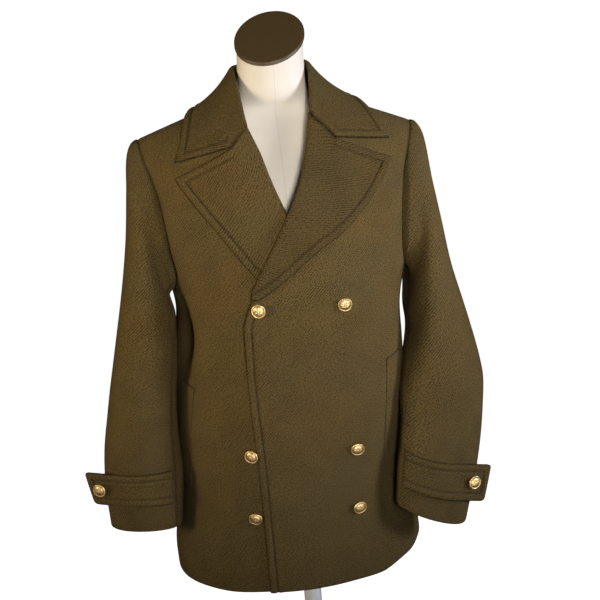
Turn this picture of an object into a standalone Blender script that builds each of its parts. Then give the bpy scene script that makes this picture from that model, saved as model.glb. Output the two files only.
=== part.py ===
"""A double-breasted coat on a limbless dress form. Each cut piece of cloth is a thin closed wall.

The front faces -Y, the wearer's left is +X and +Z is up. Tables give the coat's heights above its hem.
"""

import bpy
import numpy as np

HEM_Z = 0.260
CLOTH = 0.0024
LAPEL_CLOTH = 0.0026
SEAM = 0.0004
LAY = 0.0009

NECK_POINT = (0.070, 0.765)
SHOULDER_SLOPE = {-1: 0.335, 1: 0.410}
SHOULDER_SOFT = 0.012
DOME = 0.300
CHEST_FLATNESS = 0.80
ARMPIT = 0.480
HEM_RISE = (0.020, 0.100, 0.080)

BODY_COLUMNS = ("height", "half_width", "front", "back", "centre")
BODY = (
    (0.000, 0.2045, 0.153, 0.143, -0.0165),
    (0.040, 0.2035, 0.153, 0.143, -0.0175),
    (0.080, 0.1945, 0.152, 0.142, -0.0185),
    (0.120, 0.1850, 0.151, 0.141, -0.0190),
    (0.180, 0.1815, 0.150, 0.139, -0.0185),
    (0.240, 0.1835, 0.149, 0.136, -0.0150),
    (0.310, 0.1840, 0.147, 0.130, -0.0090),
    (0.370, 0.1805, 0.146, 0.125, -0.0040),
    (0.430, 0.1780, 0.147, 0.123, 0.0005),
    (0.490, 0.1865, 0.148, 0.125, 0.0020),
    (0.560, 0.2000, 0.146, 0.128, 0.0020),
    (0.620, 0.2100, 0.142, 0.132, 0.0010),
    (0.680, 0.2180, 0.140, 0.140, 0.0000),
    (0.730, 0.2230, 0.140, 0.150, 0.0000),
    (0.780, 0.2260, 0.140, 0.155, 0.0000),
)

FOLD_COLUMNS = ("turn", "along", "half_turn", "half_along", "slant", "depth")
BODY_FOLDS = (
    (-74, 0.396, 10, 0.046, 0, -0.0110),
    (-93, 0.330, 9, 0.080, 30, 0.0040),
    (84, 0.420, 9, 0.060, 0, -0.0030),
    (-36, 0.040, 11, 0.130, -20, 0.0035),
    (24, 0.020, 14, 0.110, 25, -0.0030),
    (58, 0.060, 9, 0.120, 10, 0.0045),
    (112, 0.070, 10, 0.150, 0, -0.0060),
    (150, 0.110, 9, 0.190, -12, 0.0060),
    (171, 0.300, 12, 0.090, 20, -0.0040),
    (-168, 0.090, 8, 0.160, 14, -0.0060),
    (-140, 0.140, 10, 0.200, 0, 0.0055),
    (-112, 0.060, 9, 0.130, 0, -0.0050),
)

ARMHOLE_COLUMNS = ("height", "front_right", "front_left", "back")
ARMHOLE = (
    (0.480, 1.000, 1.000, 1.000),
    (0.488, 0.985, 0.985, 0.988),
    (0.510, 0.955, 0.945, 0.960),
    (0.550, 0.938, 0.905, 0.925),
    (0.610, 0.914, 0.890, 0.900),
    (0.660, 0.914, 0.905, 0.905),
    (0.700, 0.940, 0.940, 0.935),
    (0.730, 0.952, 0.952, 0.952),
)

EDGE_COLUMNS = ("height", "x")
OVER_EDGE = (
    (0.000, -0.080),
    (0.200, -0.081),
    (0.400, -0.082),
    (0.462, -0.077),
    (0.492, -0.0645),
    (0.535, -0.042),
    (0.600, -0.004),
    (0.650, 0.0225),
    (0.692, 0.037),
    (0.735, 0.0485),
    (0.754, 0.055),
    (0.766, 0.071),
)
UNDER_EDGE = (
    (0.000, 0.072),
    (0.200, 0.073),
    (0.400, 0.075),
    (0.450, 0.070),
    (0.500, 0.052),
    (0.555, 0.024),
    (0.600, -0.003),
    (0.630, -0.0155),
    (0.663, -0.0268),
    (0.695, -0.0362),
    (0.732, -0.0505),
    (0.752, -0.0565),
    (0.766, -0.071),
)

LAPEL_COLUMNS = ("x", "height")
OVER_LAPEL = (
    (-0.056, 0.490),
    (-0.025, 0.510),
    (0.033, 0.552),
    (0.072, 0.574),
    (0.117, 0.609),
    (0.148, 0.641),
    (0.165, 0.666),
)
UNDER_LAPEL = (
    (0.062, 0.447),
    (0.000, 0.466),
    (-0.058, 0.523),
    (-0.104, 0.585),
    (-0.130, 0.621),
    (-0.147, 0.645),
    (-0.160, 0.666),
)
OVER_GORGE = {"height": 0.742, "notch": (0.080, 0.705)}
UNDER_GORGE = {"height": 0.732, "notch": (-0.074, 0.705)}
ROLL_LIFT = 0.0048
OVERLAP_LIFT = 0.0034
TAIL_LIFT = 0.0052

COLLAR_COLUMNS = ("fold_x", "fold_y", "fold_z", "foot_x", "foot_y", "foot_z", "edge_x", "edge_y")
COLLAR = (
    (0.000, 0.067, 0.806, 0.000, 0.060, 0.770, 0.000, 0.098),
    (0.034, 0.057, 0.808, 0.038, 0.051, 0.772, 0.066, 0.090),
    (0.055, 0.026, 0.811, 0.060, 0.022, 0.776, 0.108, 0.050),
    (0.057, -0.010, 0.805, 0.061, -0.013, 0.775, 0.127, 0.012),
    (0.053, -0.042, 0.782, 0.0545, -0.0430, 0.766, 0.143, -0.020),
    (0.0455, -0.0665, 0.7465, 0.0445, -0.0635, 0.7435, 0.161, -0.045),
)
COLLAR_END = {-1: (-0.0026, -0.0075, -0.0098), 1: (0.003, 0.0005, 0.0004)}
COLLAR_EASE = 0.0031
COLLAR_NOTCH = {-1: (-0.0742, 0.7062), 1: (0.0802, 0.7062)}
COLLAR_POINT = {-1: (-0.156, 0.687), 1: (0.165, 0.691)}

SLEEVE_COLUMNS = ("out_x", "out_y", "out_z", "in_x", "in_y", "in_z", "half_depth", "lean")
SLEEVE_RIGHT = (
    (0.236, 0.000, 0.642, 0.1896, 0.000, 0.462, 0.068, 0.00),
    (0.246, -0.005, 0.565, 0.1862, -0.010, 0.437, 0.070, 0.00),
    (0.261, -0.010, 0.486, 0.1850, -0.018, 0.404, 0.070, 0.00),
    (0.281, -0.020, 0.400, 0.1905, -0.028, 0.358, 0.068, 0.00),
    (0.301, -0.030, 0.316, 0.1975, -0.038, 0.298, 0.062, 0.00),
    (0.317, -0.040, 0.240, 0.2015, -0.050, 0.237, 0.054, 0.00),
    (0.323, -0.048, 0.174, 0.2045, -0.062, 0.176, 0.045, 0.00),
    (0.322, -0.052, 0.107, 0.2090, -0.072, 0.107, 0.035, 0.00),
)
SLEEVE_LEFT = (
    (0.237, 0.000, 0.617, 0.1905, 0.000, 0.452, 0.068, 0.00),
    (0.250, -0.005, 0.548, 0.1875, -0.013, 0.412, 0.070, 0.06),
    (0.263, -0.012, 0.474, 0.1840, -0.027, 0.368, 0.070, 0.14),
    (0.282, -0.025, 0.391, 0.1780, -0.047, 0.324, 0.066, 0.24),
    (0.297, -0.040, 0.315, 0.1695, -0.068, 0.285, 0.060, 0.32),
    (0.299, -0.052, 0.272, 0.1620, -0.081, 0.252, 0.055, 0.36),
    (0.288, -0.076, 0.213, 0.1535, -0.094, 0.216, 0.048, 0.38),
    (0.271, -0.100, 0.149, 0.1455, -0.105, 0.175, 0.042, 0.40),
    (0.246, -0.122, 0.071, 0.1385, -0.116, 0.121, 0.034, 0.40),
)
SLEEVE_FOLDS = {
    -1: (
        (150, 1.5, 40, 0.50, 0, -0.0050),
        (100, 3.2, 34, 0.34, 30, -0.0035),
        (60, 4.3, 40, 0.42, -24, -0.0030),
        (-90, 3.6, 40, 0.40, 20, -0.0050),
        (-60, 4.7, 34, 0.36, -20, -0.0045),
    ),
    1: (
        (140, 1.8, 40, 0.55, 0, -0.0040),
        (120, 4.4, 36, 0.50, 26, -0.0050),
        (80, 5.4, 44, 0.44, -20, -0.0035),
        (-80, 4.0, 40, 0.50, 24, -0.0055),
        (-60, 5.6, 36, 0.44, -20, -0.0045),
    ),
}
CAP_REACH = 0.85
SEAM_FRONT = {-1: np.radians(146), 1: np.radians(162)}
SEAM_BACK = {-1: np.radians(-78), 1: np.radians(-78)}

STRAP_COLUMNS = ("seam_top", "seam_low", "leave_top", "leave_low")
STRAP = {-1: (5.48, 6.36, 5.46, 6.30), 1: (6.16, 7.37, 6.66, 7.50)}
STRAP_BEND = 0.6
STRAP_REACH = {-1: 0.050, 1: 0.0565}
STRAP_BUTTON = {-1: 0.0215, 1: 0.0300}
STRAP_SLANT = {-1: 0.014, 1: 0.003}
STRAP_TURN = {-1: (np.radians(140), np.radians(58)), 1: (np.radians(140), np.radians(52))}
STRAP_CLOTH = 0.0030

WELT_COLUMNS = ("top_turn", "top_height", "low_turn", "low_height")
WELT = {-1: (-59.8, 0.337, -67.0, 0.160), 1: (49.8, 0.358, 49.0, 0.182)}
WELT_TURN = 16.0
WELT_CLOTH = 0.0024

BUTTON_COLUMNS = ("x", "height", "over", "sink")
BUTTONS = (
    (-0.0567, 0.476, True, 0.0008),
    (-0.088, 0.238, False, 0.0003),
    (-0.091, 0.133, False, 0.0001),
    (0.067, 0.472, True, 0.0003),
    (0.0735, 0.230, True, 0.0002),
    (0.071, 0.1285, True, 0.0001),
)
BUTTON_PROFILE = (
    (0.0000, 0.0000),
    (0.0030, 0.0000),
    (0.0030, 0.0040),
    (0.0098, 0.0040),
    (0.0110, 0.0054),
    (0.0102, 0.0068),
    (0.0060, 0.0084),
    (0.0000, 0.0090),
)

FORM_COLUMNS = ("height", "half_width", "front", "back")
FORM = (
    (0.030, 0.142, 0.108, 0.102),
    (0.100, 0.150, 0.114, 0.110),
    (0.200, 0.146, 0.110, 0.102),
    (0.300, 0.132, 0.102, 0.088),
    (0.380, 0.125, 0.098, 0.080),
    (0.450, 0.134, 0.106, 0.084),
    (0.520, 0.147, 0.114, 0.092),
    (0.580, 0.155, 0.110, 0.096),
    (0.640, 0.162, 0.094, 0.092),
    (0.680, 0.167, 0.074, 0.080),
    (0.702, 0.166, 0.060, 0.068),
    (0.716, 0.160, 0.051, 0.059),
    (0.727, 0.151, 0.043, 0.050),
    (0.737, 0.127, 0.037, 0.042),
    (0.747, 0.100, 0.034, 0.037),
    (0.757, 0.072, 0.035, 0.037),
    (0.767, 0.058, 0.041, 0.043),
    (0.780, 0.0530, 0.046, 0.047),
    (0.800, 0.0512, 0.0495, 0.050),
)
NECK_RADIUS = 0.0505
CAP_RADIUS = 0.0535
CAP_CENTRE = (0.002, -0.002, 0.850)
CAP_TILT = (0.155, 0.565)
CAP_THICK = 0.006
POLE_RADIUS = 0.015
BASE_RADIUS = 0.155
BASE_THICK = 0.016

OLIVE = (0.115, 0.085, 0.038, 1.0)
GOLD = (0.62, 0.42, 0.17, 1.0)
CREAM = (0.90, 0.82, 0.66, 1.0)
BROWN = (0.058, 0.040, 0.020, 1.0)
GREY = (0.45, 0.45, 0.44, 1.0)


def table(rows, columns):
    """A short table as a dictionary of arrays, one for each named column."""
    return dict(zip(columns, np.array(rows, float).T))


def smooth(at, knots, values):
    """A cubic through a table's values, with slopes from their neighbours."""
    at = np.clip(at, knots[0], knots[-1])
    slopes = np.gradient(values, knots, axis=0)
    index = np.clip(np.searchsorted(knots, at) - 1, 0, len(knots) - 2)
    width = knots[index + 1] - knots[index]
    t = (at - knots[index]) / width
    more = (...,) + (None,) * (np.ndim(values) - 1)
    t, width = t[more], width[more]
    return (
        (1 + 2 * t) * (1 - t) ** 2 * values[index]
        + t * (1 - t) ** 2 * width * slopes[index]
        + t * t * (3 - 2 * t) * values[index + 1]
        + t * t * (t - 1) * width * slopes[index + 1]
    )


def ease(t):
    """0 to 1 with level ends."""
    t = np.clip(t, 0.0, 1.0)
    return t * t * (3 - 2 * t)


BODY_AT = table(BODY, BODY_COLUMNS)
ARMHOLE_AT = table(ARMHOLE, ARMHOLE_COLUMNS)


def body_size(name, height):
    return smooth(height, BODY_AT["height"], BODY_AT[name])


def shoulder(x):
    """The height of the shoulder line over x, level between the neck points."""
    slope = np.where(x < 0, SHOULDER_SLOPE[-1], SHOULDER_SLOPE[1])
    past = np.abs(x) - NECK_POINT[0]
    return NECK_POINT[1] - slope * 0.5 * (past + np.sqrt(past**2 + SHOULDER_SOFT**2))


def hem_height(x):
    """The hem's height over x: level, and caught up a little towards the wearer's left side."""
    rise, start, run = HEM_RISE
    return rise * ease((x - start) / run)


def level(v, x):
    """The height of row v over x: 0 is the hem, 1 the shoulder dome's foot and 2 the shoulder line."""
    top = shoulder(x)
    hem = hem_height(x)
    dome = top - DOME * (1 - np.cos((2 - v) * np.pi / 2))
    return np.where(v <= 1, hem + (top - DOME - hem) * v, dome)


def folds(rows, turn, along):
    """The large folds: each a soft ridge or trough, bell-shaped both ways, that may lean along its way."""
    bulge = 0.0 * turn
    for row in rows:
        fold = dict(zip(FOLD_COLUMNS, row))
        ahead = along - fold["along"]
        aside = np.degrees(turn) - fold["turn"] - fold["slant"] * ahead
        aside = (aside + 180) % 360 - 180
        bell = (aside / fold["half_turn"]) ** 2 + (ahead / fold["half_along"]) ** 2
        bulge = bulge + fold["depth"] * np.exp(-bell)
    return bulge


def on_body(turn, v):
    """A point of the coat's middle surface: a squarish ellipse, domed up to the shoulder."""
    turn, v = np.broadcast_arrays(turn, v)
    x = 0.18 * np.sin(turn)
    for _ in range(12):
        height = level(v, x)
        x = body_size("centre", height) + body_size("half_width", height) * np.sin(turn)
    height = level(v, x)
    depth = np.where(np.cos(turn) >= 0, -body_size("front", height), body_size("back", height))
    fall = np.where(v <= 1, 1.0, np.sin((2 - v) * np.pi / 2))
    y = depth * np.abs(np.cos(turn)) ** CHEST_FLATNESS * fall
    bulge = folds(BODY_FOLDS, turn, height)
    return np.stack([x + bulge * np.sin(turn), y - bulge * np.cos(turn), height], -1)


def body_normal(turn, v, step=0.004):
    """The outward normal, from points a little to each side."""
    across = on_body(turn + step, v) - on_body(turn - step, v)
    along = on_body(turn, v + step) - on_body(turn, v - step)
    normal = np.cross(across, along)
    return normal / np.linalg.norm(normal, axis=-1, keepdims=True)


def body(turn, v, lift=0.0):
    """A point of the middle surface, moved out by the lift."""
    turn, v = np.broadcast_arrays(turn, v)
    return on_body(turn, v) + body_normal(turn, v) * np.asarray(lift)[..., None]


def place(x, height):
    """The turn and the row of a front point, from its x and its height."""
    top = shoulder(x)
    rise = np.clip((top - height) / DOME, 0.0, None)
    domed = 2 - np.arccos(np.clip(1 - rise, -1.0, 1.0)) * 2 / np.pi
    hem = hem_height(x)
    v = np.where(rise >= 1, (height - hem) / (top - DOME - hem), domed)
    half = body_size("half_width", height)
    return np.arcsin(np.clip((x - body_size("centre", height)) / half, -1.0, 1.0)), v


def drape(x, y, lift):
    """The point of the middle surface over x and y, near the shoulder, moved out by the lift."""
    height = shoulder(x) - 0.01
    for _ in range(30):
        sine = (x - body_size("centre", height)) / body_size("half_width", height)
        turn = np.arcsin(np.clip(sine, -1, 1))
        depth = np.where(y < 0, body_size("front", height), body_size("back", height))
        share = np.clip(np.abs(y) / (depth * np.cos(turn) ** CHEST_FLATNESS), 0, 0.98)
        height = shoulder(x) - DOME * (1 - np.sqrt(1 - share**2))
    v = 2 - np.arcsin(share) * 2 / np.pi
    return body(np.where(y < 0, turn, np.pi - turn), v, lift)


def side_turn(v, side, face):
    """The turn of the side seam below the armpit and of the armhole above it."""
    column = face if face == "back" else "front_left" if side > 0 else "front_right"
    x = side * 0.18
    for _ in range(12):
        height = level(v, x)
        share = smooth(height, ARMHOLE_AT["height"], ARMHOLE_AT[column])
        share = np.where(height < ARMPIT, 1.0, np.clip(share, 0.0, 1.0))
        x = body_size("centre", height) + side * share * body_size("half_width", height)
    turn = np.arcsin(share)
    return side * (turn if face == "front" else np.pi - turn)


def armpit_row(side):
    """The row of the armhole's lowest point."""
    x = body_size("centre", np.array(ARMPIT)) + side * body_size("half_width", np.array(ARMPIT))
    rise = (shoulder(x) - ARMPIT) / DOME
    return float(2 - np.arccos(1 - rise) * 2 / np.pi)


def front_rows(count, side):
    """Rows from hem to shoulder, with one on the armpit."""
    pit = armpit_row(side)
    low = int(round(count * 0.56))
    upper = pit + (2 - pit) * np.linspace(0, 1, count - low + 1)
    return np.concatenate([np.linspace(0, pit, low, endpoint=False), upper])


def edge_turn(v, rows):
    """The turn of a front's free edge, given as x by height."""
    edge = table(rows, EDGE_COLUMNS)
    x = np.zeros_like(v)
    for _ in range(40):
        height = level(v, x)
        x = 0.5 * x + 0.5 * smooth(height, edge["height"], edge["x"])
    height = level(v, x)
    return np.arcsin((x - body_size("centre", height)) / body_size("half_width", height))


def over_lift(x, height):
    """How far the over front stands off the body surface, so that what it laps over fits beneath."""
    lap = 1 - ease((x - 0.078) / 0.070)
    lap = lap * (1 - ease((height - 0.630) / 0.090))
    tail = (1 - ease((x - 0.066) / 0.080)) * ease((height - 0.310) / 0.130)
    tail = tail * (1 - ease((height - 0.630) / 0.100))
    return OVERLAP_LIFT * lap + TAIL_LIFT * tail


def inset(grid, first_row=0.0, last_row=0.0, first_column=0.0, last_column=0.0):
    """The grid with its border points drawn in along the surface, which leaves the gap of a seam."""
    grid = grid.copy()
    borders = (
        (0, 0, 1, first_row),
        (0, -1, -1, last_row),
        (1, 0, 1, first_column),
        (1, -1, -1, last_column),
    )
    for axis, at, step, by in borders:
        border = np.take(grid, at, axis)
        way = np.take(grid, at + step, axis) - border
        way = way / np.maximum(np.linalg.norm(way, axis=-1, keepdims=True), 1e-9)
        moved = border + way * by
        if axis == 0:
            grid[at] = moved
        else:
            grid[:, at] = moved
    return grid


def grid_normals(grid, closed=False):
    """Outward normals of a grid whose columns cross its rows, from the points beside each one."""
    along = np.gradient(grid, axis=0)
    if closed:
        across = np.roll(grid, -1, 1) - np.roll(grid, 1, 1)
    else:
        across = np.gradient(grid, axis=1)
    normal = np.cross(across, along)
    return normal / np.maximum(np.linalg.norm(normal, axis=-1, keepdims=True), 1e-12)


def wall(grid, normals, thick):
    """Points and faces of a closed wall, half its thickness to each side of a middle grid."""
    rows, columns = grid.shape[:2]
    outer = grid + normals * thick / 2
    inner = grid - normals * thick / 2
    points = np.concatenate([outer.reshape(-1, 3), inner.reshape(-1, 3)])
    number = np.arange(rows * columns).reshape(rows, columns)
    a, b, c, d = number[:-1, :-1], number[:-1, 1:], number[1:, 1:], number[1:, :-1]
    front = np.stack([a, b, c, d], -1).reshape(-1, 4)
    back = (front + rows * columns)[:, ::-1]
    loop = np.concatenate([number[0, :], number[1:, -1], number[-1, -2::-1], number[-2:0:-1, 0]])
    ahead = np.roll(loop, -1)
    rim = np.stack([ahead, loop, loop + rows * columns, ahead + rows * columns], -1)
    return points, np.concatenate([front, back, rim]).tolist()


def add(name, points, faces, colour, rough=0.8, metal=0.0):
    """One solid in the scene, lifted to stand over the floor, with its own material."""
    points = np.asarray(points, float) + np.array([0.0, 0.0, HEM_Z])
    corners = [points[list(face)] for face in faces]
    volume = sum(np.dot(c[0], np.cross(c[1], c[2])) for q in corners for c in fan(q))
    if volume < 0:
        faces = [tuple(reversed(face)) for face in faces]
    mesh = bpy.data.meshes.new(name)
    mesh.from_pydata(points.tolist(), [], [tuple(face) for face in faces])
    mesh.validate()
    material = bpy.data.materials.new(name)
    material.use_nodes = True
    shader = material.node_tree.nodes["Principled BSDF"]
    shader.inputs["Base Color"].default_value = colour
    shader.inputs["Roughness"].default_value = rough
    shader.inputs["Metallic"].default_value = metal
    mesh.materials.append(material)
    obj = bpy.data.objects.new(name, mesh)
    bpy.context.scene.collection.objects.link(obj)
    return obj


def fan(corners):
    return [(corners[0], corners[k], corners[k + 1]) for k in range(1, len(corners) - 1)]


def add_back(rows=25, columns=23):
    """The back panel, from side seam to side seam, cut out at the armholes and the neck."""
    v = front_rows(rows, 1)[:, None]
    share = np.linspace(0, 1, columns)[None, :]
    left, right = side_turn(v, -1, "back"), side_turn(v, 1, "back")
    turn = right + (2 * np.pi + left - right) * share
    sine = np.sin(turn)
    half = NECK_POINT[0] + 0.002
    x_top = 0.22 * sine
    neck = 0.058 * np.sqrt(np.clip(1 - (x_top / half) ** 2, 0, 1))
    share_top = neck / (0.152 * np.abs(np.cos(turn)) ** CHEST_FLATNESS)
    top = 2 - np.arcsin(np.clip(share_top, 0, 0.9)) * 2 / np.pi
    pit = armpit_row(1)
    v = np.where(v > pit, pit + (v - pit) * (top[-1:] - pit) / (2 - pit), v)
    grid = inset(body(turn, v), last_row=SEAM, first_column=SEAM, last_column=SEAM)
    add("back", *wall(grid, body_normal(turn, v), CLOTH), OLIVE)


def front_grid(side, edge_rows, rows=30, columns=16):
    """Turns and rows of a front panel, from its free edge to its side seam and armhole."""
    v = front_rows(rows, side)
    start, end = edge_turn(v, edge_rows), side_turn(v, side, "front")
    share = np.linspace(0, 1, columns)[None, :]
    return start[:, None] + (end - start)[:, None] * share, v[:, None] + 0 * share


def add_front(name, side, edge_rows, over):
    """A front panel. The over front stands off where it laps over the under front."""
    turn, v = front_grid(side, edge_rows)
    flat = on_body(turn, v)
    lift = over_lift(flat[..., 0], flat[..., 2]) if over else 0.0 * turn
    grid = inset(body(turn, v, lift), last_row=SEAM, last_column=SEAM)
    add(name, *wall(grid, body_normal(turn, v), CLOTH), OLIVE)


def lapel_plan(edge_rows, outline, gorge, rows, share):
    """A lapel's x and height, from roll line to outer edge, its top bent along gorge and notch."""
    edge = table(edge_rows, EDGE_COLUMNS)
    rim = table(outline, LAPEL_COLUMNS)
    along = np.linspace(0, 1, rows)
    low = rim["height"][0] + 0.003
    roll_z = low + (gorge["height"] - low) * along
    roll_x = smooth(roll_z, edge["height"], edge["x"])
    knots = np.linspace(0, 1, len(outline))
    rim_x = smooth(along, knots, rim["x"])
    rim_z = smooth(along, knots, rim["height"])
    x = roll_x[:, None] + (rim_x - roll_x)[:, None] * share
    z = roll_z[:, None] + (rim_z - roll_z)[:, None] * share
    notch_x, notch_z = gorge["notch"]
    at = (notch_x - roll_x[-1]) / (rim_x[-1] - roll_x[-1])
    dip = notch_z - (roll_z[-1] + (rim_z[-1] - roll_z[-1]) * at)
    bend = np.where(share < at, share / at, (1 - share) / (1 - at))
    z = z + dip * bend * ease((along - 0.72) / 0.28)[:, None]
    return x, z


def lapel_grid(side, edge_rows, outline, gorge, over, rows=20, columns=9):
    """A lapel's middle surface: it turns up round the roll line and lies back on its front."""
    spread = np.linspace(0, 1, columns) ** 0.9
    roll = np.array([1.9, 3.0, 2.4, 0.6]) / 1000
    rise = np.array([-0.2, 1.6, 3.4, 4.6]) / 1000
    share = np.concatenate([np.zeros(4), spread[1:]])
    x, z = lapel_plan(edge_rows, outline, gorge, rows, share[None, :])
    slope = np.gradient(x[:, 0], z[:, 0])
    tilt = np.hypot(1.0, slope)
    out = np.concatenate([roll, np.zeros(columns - 1)])
    x = x - side * out / tilt[:, None]
    z = z + side * out * (slope / tilt)[:, None]
    rest = CLOTH / 2 + LAPEL_CLOTH / 2 + LAY
    lift = np.concatenate([rise, rest + (ROLL_LIFT - rest) * (1 - spread[1:]) ** 2])
    narrow = np.linalg.norm(np.stack([x[:, -1] - x[:, 3], z[:, -1] - z[:, 3]]), axis=0)
    turn, v = place(x, z)
    lift = lift[None, :] + 0.0006 * (1 - ease(narrow / 0.05))[:, None]
    if over:
        lift = lift + over_lift(x, z)
    return body(turn, v, lift)


def add_lapel(name, side, edge_rows, outline, gorge, over):
    grid = inset(lapel_grid(side, edge_rows, outline, gorge, over), last_row=SEAM)
    add(name, *wall(grid, grid_normals(grid), LAPEL_CLOTH), OLIVE)


def collar_section(stations, side):
    """The collar's fold, foot and edge at stations from the centre back (0) to the front end (5)."""
    at = table(COLLAR, COLLAR_COLUMNS)
    knots = np.arange(len(COLLAR), dtype=float)
    value = {name: smooth(stations, knots, at[name]) for name in COLLAR_COLUMNS}
    fold = np.stack([side * value["fold_x"], value["fold_y"], value["fold_z"]], -1)
    foot = np.stack([side * value["foot_x"], value["foot_y"], value["foot_z"]], -1)
    drop = ease((stations - 3.4) / 1.6)[:, None] * np.array(COLLAR_END[side])
    fold, foot = fold + drop, foot + drop
    rest = CLOTH / 2 + LAPEL_CLOTH / 2 + LAY + COLLAR_EASE
    edge = drape(side * value["edge_x"], value["edge_y"], rest + 0.0 * stations)
    return fold, foot, edge


def collar_side(side, count=15, across=8):
    """Half of the collar's middle surface, from the centre back to one front end."""
    stations = np.linspace(0, 5, count)
    fold, foot, edge = collar_section(stations, side)
    out = fold * np.array([1.0, 1.0, 0.0])
    out = out / np.linalg.norm(out, axis=-1, keepdims=True)
    up = np.array([0.0, 0.0, 1.0])
    tall = (fold - foot)[:, 2:3]
    inner = fold - out * 0.0012 - up * np.minimum(0.004, tall * 0.5)
    outer = fold + out * 0.0042 - up * 0.0022
    t = np.linspace(0, 1, across)[None, :, None]
    reach = np.linalg.norm(edge - outer, axis=-1)[:, None]
    leave = (out * 0.56 - up * 0.83) * reach * 0.9
    slide = edge - outer
    fall = (
        (1 + 2 * t) * (1 - t) ** 2 * outer[:, None]
        + t * (1 - t) ** 2 * leave[:, None]
        + t * t * (3 - 2 * t) * edge[:, None]
        + t * t * (t - 1) * slide[:, None]
    )
    notch, point = COLLAR_NOTCH[side], COLLAR_POINT[side]
    end = outer[-1, [0, 2]]
    cut = 0.34
    t = t[0, :, 0]
    first = np.clip(t / cut, 0, 1)[:, None]
    second = np.clip((t - cut) / (1 - cut), 0, 1)[:, None]
    plan = end + (np.array(notch) - end) * first + (np.array(point) - np.array(notch)) * second
    rest = CLOTH / 2 + LAPEL_CLOTH / 2 + LAY
    lift = rest + 0.0012 * (1 - t) ** 2 + COLLAR_EASE * t
    laid = body(*place(plan[:, 0], plan[:, 1]), lift)
    shift = (laid - fall[-1]) * ease(np.linspace(0, 1, across) * 4)[:, None]
    weight = ease((stations - 3.0) / 2.0)[:, None, None]
    fall = fall + shift[None] * weight
    clear = drape(fall[..., 0], fall[..., 1], rest + COLLAR_EASE + 0 * fall[..., 0])
    low = (np.abs(fall[..., 0]) > 0.075) | (fall[..., 1] > 0.062)
    fall[..., 2] = np.where(low, np.maximum(fall[..., 2], clear[..., 2]), fall[..., 2])
    stand = np.stack([foot, 0.5 * foot + 0.5 * inner, inner, fold], 1)
    return np.concatenate([stand, fall], 1)


def add_collar():
    """A folded sheet that stands round the neck and falls over the shoulders to two points."""
    left, right = collar_side(-1), collar_side(1)
    grid = np.concatenate([left[::-1], right[1:]])
    grid = inset(grid, first_row=SEAM, last_row=SEAM)
    add("collar", *wall(grid, grid_normals(grid), LAPEL_CLOTH), OLIVE)


def armhole(side, turns):
    """Points of the armhole: turn 0 is the shoulder tip, a quarter the front and a half the armpit."""
    pit = armpit_row(side)
    dense = np.linspace(0, 1, 200)
    loops = []
    for face in ("front", "back"):
        v = 2 + (pit - 2) * dense
        points = body(side_turn(v, side, face), v)
        length = np.concatenate([[0], np.cumsum(np.linalg.norm(np.diff(points, axis=0), axis=1))])
        loops.append((points, length / length[-1]))
    share = np.abs(turns) / np.pi
    front = np.stack([np.interp(share, loops[0][1], loops[0][0][:, k]) for k in range(3)], -1)
    back = np.stack([np.interp(share, loops[1][1], loops[1][0][:, k]) for k in range(3)], -1)
    return np.where(turns[:, None] >= 0, front, back)


def last_station(side):
    return len(SLEEVE_LEFT if side > 0 else SLEEVE_RIGHT) - 1.0


def sleeve_ring(side, station, turns):
    """A ring of the sleeve at a station of its table: outer edge at turn 0, front at a quarter turn."""
    rows = SLEEVE_LEFT if side > 0 else SLEEVE_RIGHT
    at = table(rows, SLEEVE_COLUMNS)
    knots = np.arange(len(rows), dtype=float)
    value = {name: smooth(station, knots, at[name]) for name in SLEEVE_COLUMNS}
    out = np.stack([side * value["out_x"], value["out_y"], value["out_z"]], -1)
    into = np.stack([side * value["in_x"], value["in_y"], value["in_z"]], -1)
    centre, half = (out + into) / 2, (out - into) / 2
    lean = value["lean"]
    ahead = np.stack([-side * lean, -np.sqrt(1 - lean**2), 0 * lean], -1)
    cosine, sine = np.cos(turns), np.sin(turns)
    bulge = np.sign(sine) * np.abs(sine) ** 0.78
    return centre + half * cosine[..., None] + ahead * (value["half_depth"] * bulge)[..., None]


def sleeve(side, station, turns):
    """A point of the sleeve: stations -1 to 0 join the armhole to the first ring of the table."""
    station, turns = np.broadcast_arrays(np.asarray(station, float), turns)
    ring = sleeve_ring(side, np.clip(station, 0, None), turns)
    start = armhole(side, turns.ravel()).reshape(turns.shape + (3,))
    first = sleeve_ring(side, np.zeros_like(station), turns)
    ahead = (sleeve_ring(side, np.zeros_like(station) + 0.02, turns) - first) / 0.02
    apart = np.linalg.norm(first - start, axis=-1, keepdims=True)
    leave = np.array([side * 1.0, 0.0, 0.0]) * apart * CAP_REACH
    ahead = ahead * np.minimum(1.0, apart / np.linalg.norm(ahead, axis=-1, keepdims=True))
    t = np.clip(station + 1, 0, 1)[..., None]
    joined = (
        (1 + 2 * t) * (1 - t) ** 2 * start
        + t * (1 - t) ** 2 * leave
        + t * t * (3 - 2 * t) * first
        + t * t * (t - 1) * ahead
    )
    point = np.where(station[..., None] >= 0, ring, joined)
    bulge = folds(SLEEVE_FOLDS[side], turns, station)
    away = np.stack([side * np.cos(turns), -np.sin(turns), 0 * turns], -1)
    return point + away * bulge[..., None]


def sleeve_normal(side, station, turns, step=0.02):
    """The outward normal of the sleeve."""
    across = sleeve(side, station, turns + step) - sleeve(side, station, turns - step)
    low = np.maximum(station - step, -0.999)
    high = np.minimum(station + step, last_station(side))
    along = sleeve(side, high, turns) - sleeve(side, low, turns)
    normal = side * np.cross(across, along)
    return normal / np.maximum(np.linalg.norm(normal, axis=-1, keepdims=True), 1e-12)


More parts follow.
